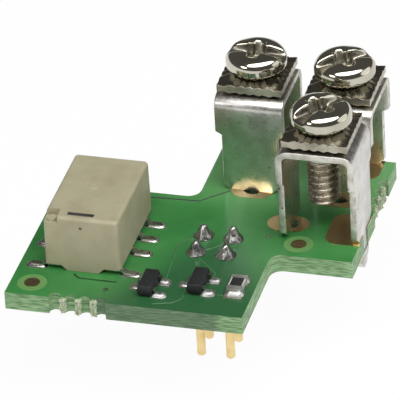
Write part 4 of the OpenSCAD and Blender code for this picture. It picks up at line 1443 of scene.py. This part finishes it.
@dataclass
class Studio:
    """Floor, lights, surroundings and camera."""

    image_side: int = 400
    azimuth: float = 16.561
    elevation: float = 32.502
    roll: float = -3.121
    distance: float = 474.726 * MM
    target: Triple = (-0.26 * MM, -0.05 * MM, 7.14 * MM)
    focal_px: float = 5740.82
    shift_px: Pair = (9.984, 15.42)
    sensor: float = 36.0
    floor_side: float = 6.0

    LAMPS = (
        Lamp("top_box", (0.110, -0.139, 0.389), (0.72, 0.30), 2.4),
        Lamp("front_box", (-0.19, -0.27, 0.17), (0.15, 0.08), 0.14),
        Lamp("right_box", (0.36, 0.08, 0.13), (0.34, 0.24), 0.23),
    )
    # Height on the ramp and colour of the horizon and of the ceiling, and what the camera sees
    SKY = ((0.02, (0.95, 0.95, 0.95, 1)), (0.10, (0.10, 0.098, 0.092, 1)))
    WHITE = (1, 1, 1, 1)

    def build(self) -> None:
        """Set up the whole studio."""
        self.build_floor()
        self.build_world()
        for lamp in self.LAMPS:
            lamp.hang(self.target)
        self.build_camera()
        bpy.context.scene.view_settings.view_transform = "Standard"

    def build_floor(self) -> None:
        """Lay the floor under the pins' tips."""
        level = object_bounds()[0][2]
        half = self.floor_side / 2
        mesh = bpy.data.meshes.new("floor")
        mesh.from_pydata(
            [(-half, -half, level), (half, -half, level), (half, half, level), (-half, half, level)],
            [], [(0, 1, 2, 3)])
        floor = add_object("floor", mesh)
        paint(floor, FLOOR)
        floor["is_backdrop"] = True

    def build_world(self) -> None:
        """Surround the object with a white horizon under a dim ceiling."""
        world = bpy.data.worlds.new("studio")
        bpy.context.scene.world = world
        world.use_nodes = True
        graph = NodeGraph(world.node_tree)
        graph.tree.nodes.clear()
        height = graph.axes(graph.add("ShaderNodeTexCoord").outputs["Generated"])["Z"]
        ramp = graph.add("ShaderNodeValToRGB", Fac=height)
        for stop, (position, colour) in zip(ramp.color_ramp.elements, self.SKY):
            stop.position = position
            stop.color = colour
        seen = graph.add("ShaderNodeLightPath").outputs["Is Camera Ray"]
        colour = graph.blend(seen, ramp, self.WHITE)
        glow = graph.add("ShaderNodeBackground", Color=colour)
        graph.add("ShaderNodeOutputWorld", Surface=glow)

    def build_camera(self) -> None:
        """Stand the camera where the photograph was taken from."""
        data = bpy.data.cameras.new("camera")
        data.sensor_width = self.sensor
        data.lens = self.focal_px / self.image_side * self.sensor
        data.shift_x = -self.shift_px[0] / self.image_side
        data.shift_y = self.shift_px[1] / self.image_side
        turn = Matrix.Translation(self.target)
        for angle, axis in ((self.azimuth, "Z"), (90 - self.elevation, "X"), (self.roll, "Z")):
            turn = turn @ Matrix.Rotation(math.radians(angle), 4, axis)
        camera = add_object("camera", data)
        camera.matrix_world = turn @ Matrix.Translation((0, 0, self.distance))
        bpy.context.scene.camera = camera


def main() -> None:
    """Load the solids, dress them and set up the studio."""
    logging.basicConfig(level=logging.INFO, format="%(message)s")
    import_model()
    shop = Workshop()
    studio = Studio()
    studio.build()
    assemblies = [
        Board(shop), Header(shop), Relay(shop), Driver(shop),
        Terminal(shop, Corner.LEFT, slot_angle=-3),
        Terminal(shop, Corner.CORNER, slot_angle=39),
        Terminal(shop, Corner.FRONT, slot_angle=54),
    ]
    for assembly in assemblies:
        assembly.build()
        assembly.dress()


if __name__ == "__main__":
    main()
